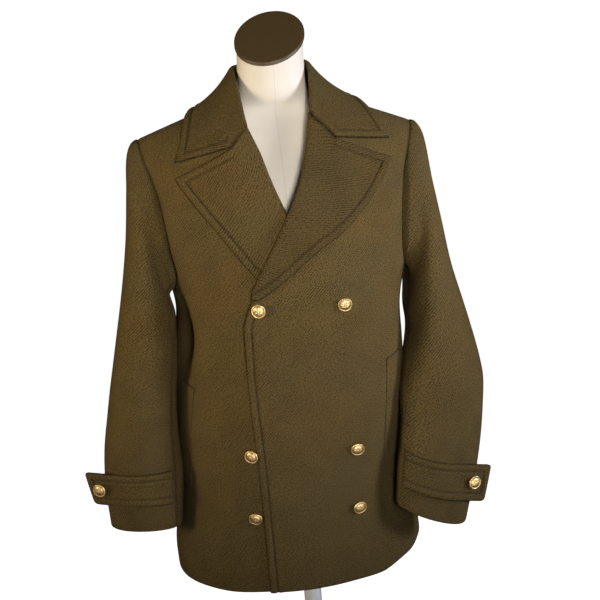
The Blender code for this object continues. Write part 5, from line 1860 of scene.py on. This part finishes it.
class COAT_OT_stage(bpy.types.Operator):
    """Makes the floor, the lights and the camera."""

    bl_idname = "coat.stage"
    bl_label = "Stage"

    def execute(self, context):
        stage, scene = context.scene.coat_stage, context.scene
        floor = self.floor()
        floor.visible_diffuse = floor.visible_glossy = False
        world = bpy.data.worlds.new("studio")
        world.use_nodes = True
        sky = world.node_tree.nodes["Background"].inputs
        sky["Color"].default_value = (1.0, 1.0, 1.0, 1.0)
        sky["Strength"].default_value = stage.sky
        scene.world = world
        for name, seat, cone, tint in LAMPS:
            light = self.lamp(name, "SPOT", seat, LAMP_AIM, getattr(stage, name))
            light.color = tint
            light.shadow_soft_size = LAMP_SOFT
            light.spot_size = np.radians(cone)
            light.spot_blend = 1.0
        card = self.lamp("card", "AREA", CARD_SEAT, CARD_AIM, stage.card)
        card.shape = "RECTANGLE"
        card.size, card.size_y = CARD_SIZE
        bpy.data.objects["card"].visible_diffuse = False
        scene.view_settings.view_transform = "Standard"
        camera = bpy.data.cameras.new("camera")
        camera.lens = stage.lens
        camera.sensor_width = SENSOR
        seat = bpy.data.objects.new("camera", camera)
        scene.collection.objects.link(seat)
        seat.matrix_world = self.view(stage)
        scene.camera = seat
        return {"FINISHED"}

    def floor(self):
        """A round floor that turns up into a wall: a flat, a quarter circle and an upright, about Z."""
        bend = np.linspace(0, np.pi / 2, 12)
        radius = np.concatenate([[0.01], FLOOR_FLAT + FLOOR_BEND * np.sin(bend), [FLOOR_FLAT + FLOOR_BEND]])
        rise = np.concatenate([[0.0], FLOOR_BEND - FLOOR_BEND * np.cos(bend), [FLOOR_WALL]])
        angle = np.linspace(0, 2 * np.pi, FLOOR_SIDES, endpoint=False)
        ring = np.stack([np.cos(angle), np.sin(angle)], -1)
        points = np.dstack([radius[:, None, None] * ring, rise[:, None] + 0 * angle]).reshape(-1, 3)
        here = np.arange(len(radius) - 1)[:, None] * FLOOR_SIDES + np.arange(FLOOR_SIDES)
        beside = np.roll(here, -1, 1)
        faces = np.stack([here, here + FLOOR_SIDES, beside + FLOOR_SIDES, beside], -1).reshape(-1, 4)
        mesh = bpy.data.meshes.new("floor")
        mesh.from_pydata(points.tolist(), [], faces.tolist() + [list(range(FLOOR_SIDES))])
        mesh.materials.append(material("pale_floor"))
        floor = bpy.data.objects.new("floor", mesh)
        bpy.context.scene.collection.objects.link(floor)
        return floor

    def lamp(self, name, kind, seat, aim, power):
        """A light that faces a point."""
        light = bpy.data.lights.new(name, kind)
        light.energy = power
        lamp = bpy.data.objects.new(name, light)
        bpy.context.scene.collection.objects.link(lamp)
        back = unit(np.array(seat) - np.array(aim))
        side = unit(np.cross(UP, back))
        lamp.matrix_world = self.seated(side, np.cross(back, side), back, seat)
        return light

    def view(self, stage):
        """The camera's place and turn: to the wearer's right, above, looking down, slightly rolled."""
        azimuth, pan, pitch, roll = np.radians(VIEW_ANGLES)
        level_way = np.array([-np.sin(azimuth - pan), np.cos(azimuth - pan), 0.0])
        ahead = level_way * np.cos(pitch) - UP * np.sin(pitch)
        right = unit(np.cross(level_way, UP))
        up = np.cross(right, ahead)
        across = right * np.cos(roll) - up * np.sin(roll)
        upright = up * np.cos(roll) + right * np.sin(roll)
        eye = (np.sin(azimuth) * stage.distance, -np.cos(azimuth) * stage.distance, HEM_Z + stage.rise)
        return self.seated(across, upright, -ahead, eye)

    def seated(self, *axes):
        """The matrix of three axes and a place."""
        return Matrix(np.vstack([np.stack(axes, 1), (0.0, 0.0, 0.0, 1.0)]).tolist())


STEPS = (
    COAT_OT_stage,
    COAT_OT_back,
    COAT_OT_fronts,
    COAT_OT_lapels,
    COAT_OT_collar,
    COAT_OT_sleeves,
    COAT_OT_straps,
    COAT_OT_pockets,
    COAT_OT_buttons,
    COAT_OT_form,
)


class COAT_PT_pieces(bpy.types.Panel):
    """Lists the coat's pieces, sizes and colours."""

    bl_idname = "COAT_PT_pieces"
    bl_label = "Coat"
    bl_space_type = "VIEW_3D"
    bl_region_type = "UI"
    bl_category = "Coat"

    def draw(self, context):
        for group in (context.scene.coat_cloth, context.scene.coat_trim, context.scene.coat_stage):
            box = self.layout.box()
            for name in group.__annotations__:
                box.prop(group, name)
        for step in STEPS:
            self.layout.operator(step.bl_idname)


CLASSES = (CoatCloth, CoatTrim, CoatStage) + STEPS + (COAT_PT_pieces,)


def register():
    """Adds the classes, and the groups of sizes and colours to the scene."""
    for made in CLASSES:
        bpy.utils.register_class(made)
    bpy.types.Scene.coat_cloth = PointerProperty(type=CoatCloth)
    bpy.types.Scene.coat_trim = PointerProperty(type=CoatTrim)
    bpy.types.Scene.coat_stage = PointerProperty(type=CoatStage)


def unregister():
    """Takes the groups and the classes away again."""
    del bpy.types.Scene.coat_cloth, bpy.types.Scene.coat_trim, bpy.types.Scene.coat_stage
    for made in reversed(CLASSES):
        bpy.utils.unregister_class(made)


def main():
    """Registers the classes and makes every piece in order."""
    register()
    bpy.ops.coat.stage()
    bpy.ops.coat.back()
    bpy.ops.coat.fronts()
    bpy.ops.coat.lapels()
    bpy.ops.coat.collar()
    bpy.ops.coat.sleeves()
    bpy.ops.coat.straps()
    bpy.ops.coat.pockets()
    bpy.ops.coat.buttons()
    bpy.ops.coat.form()


if __name__ == "__main__":
    main()
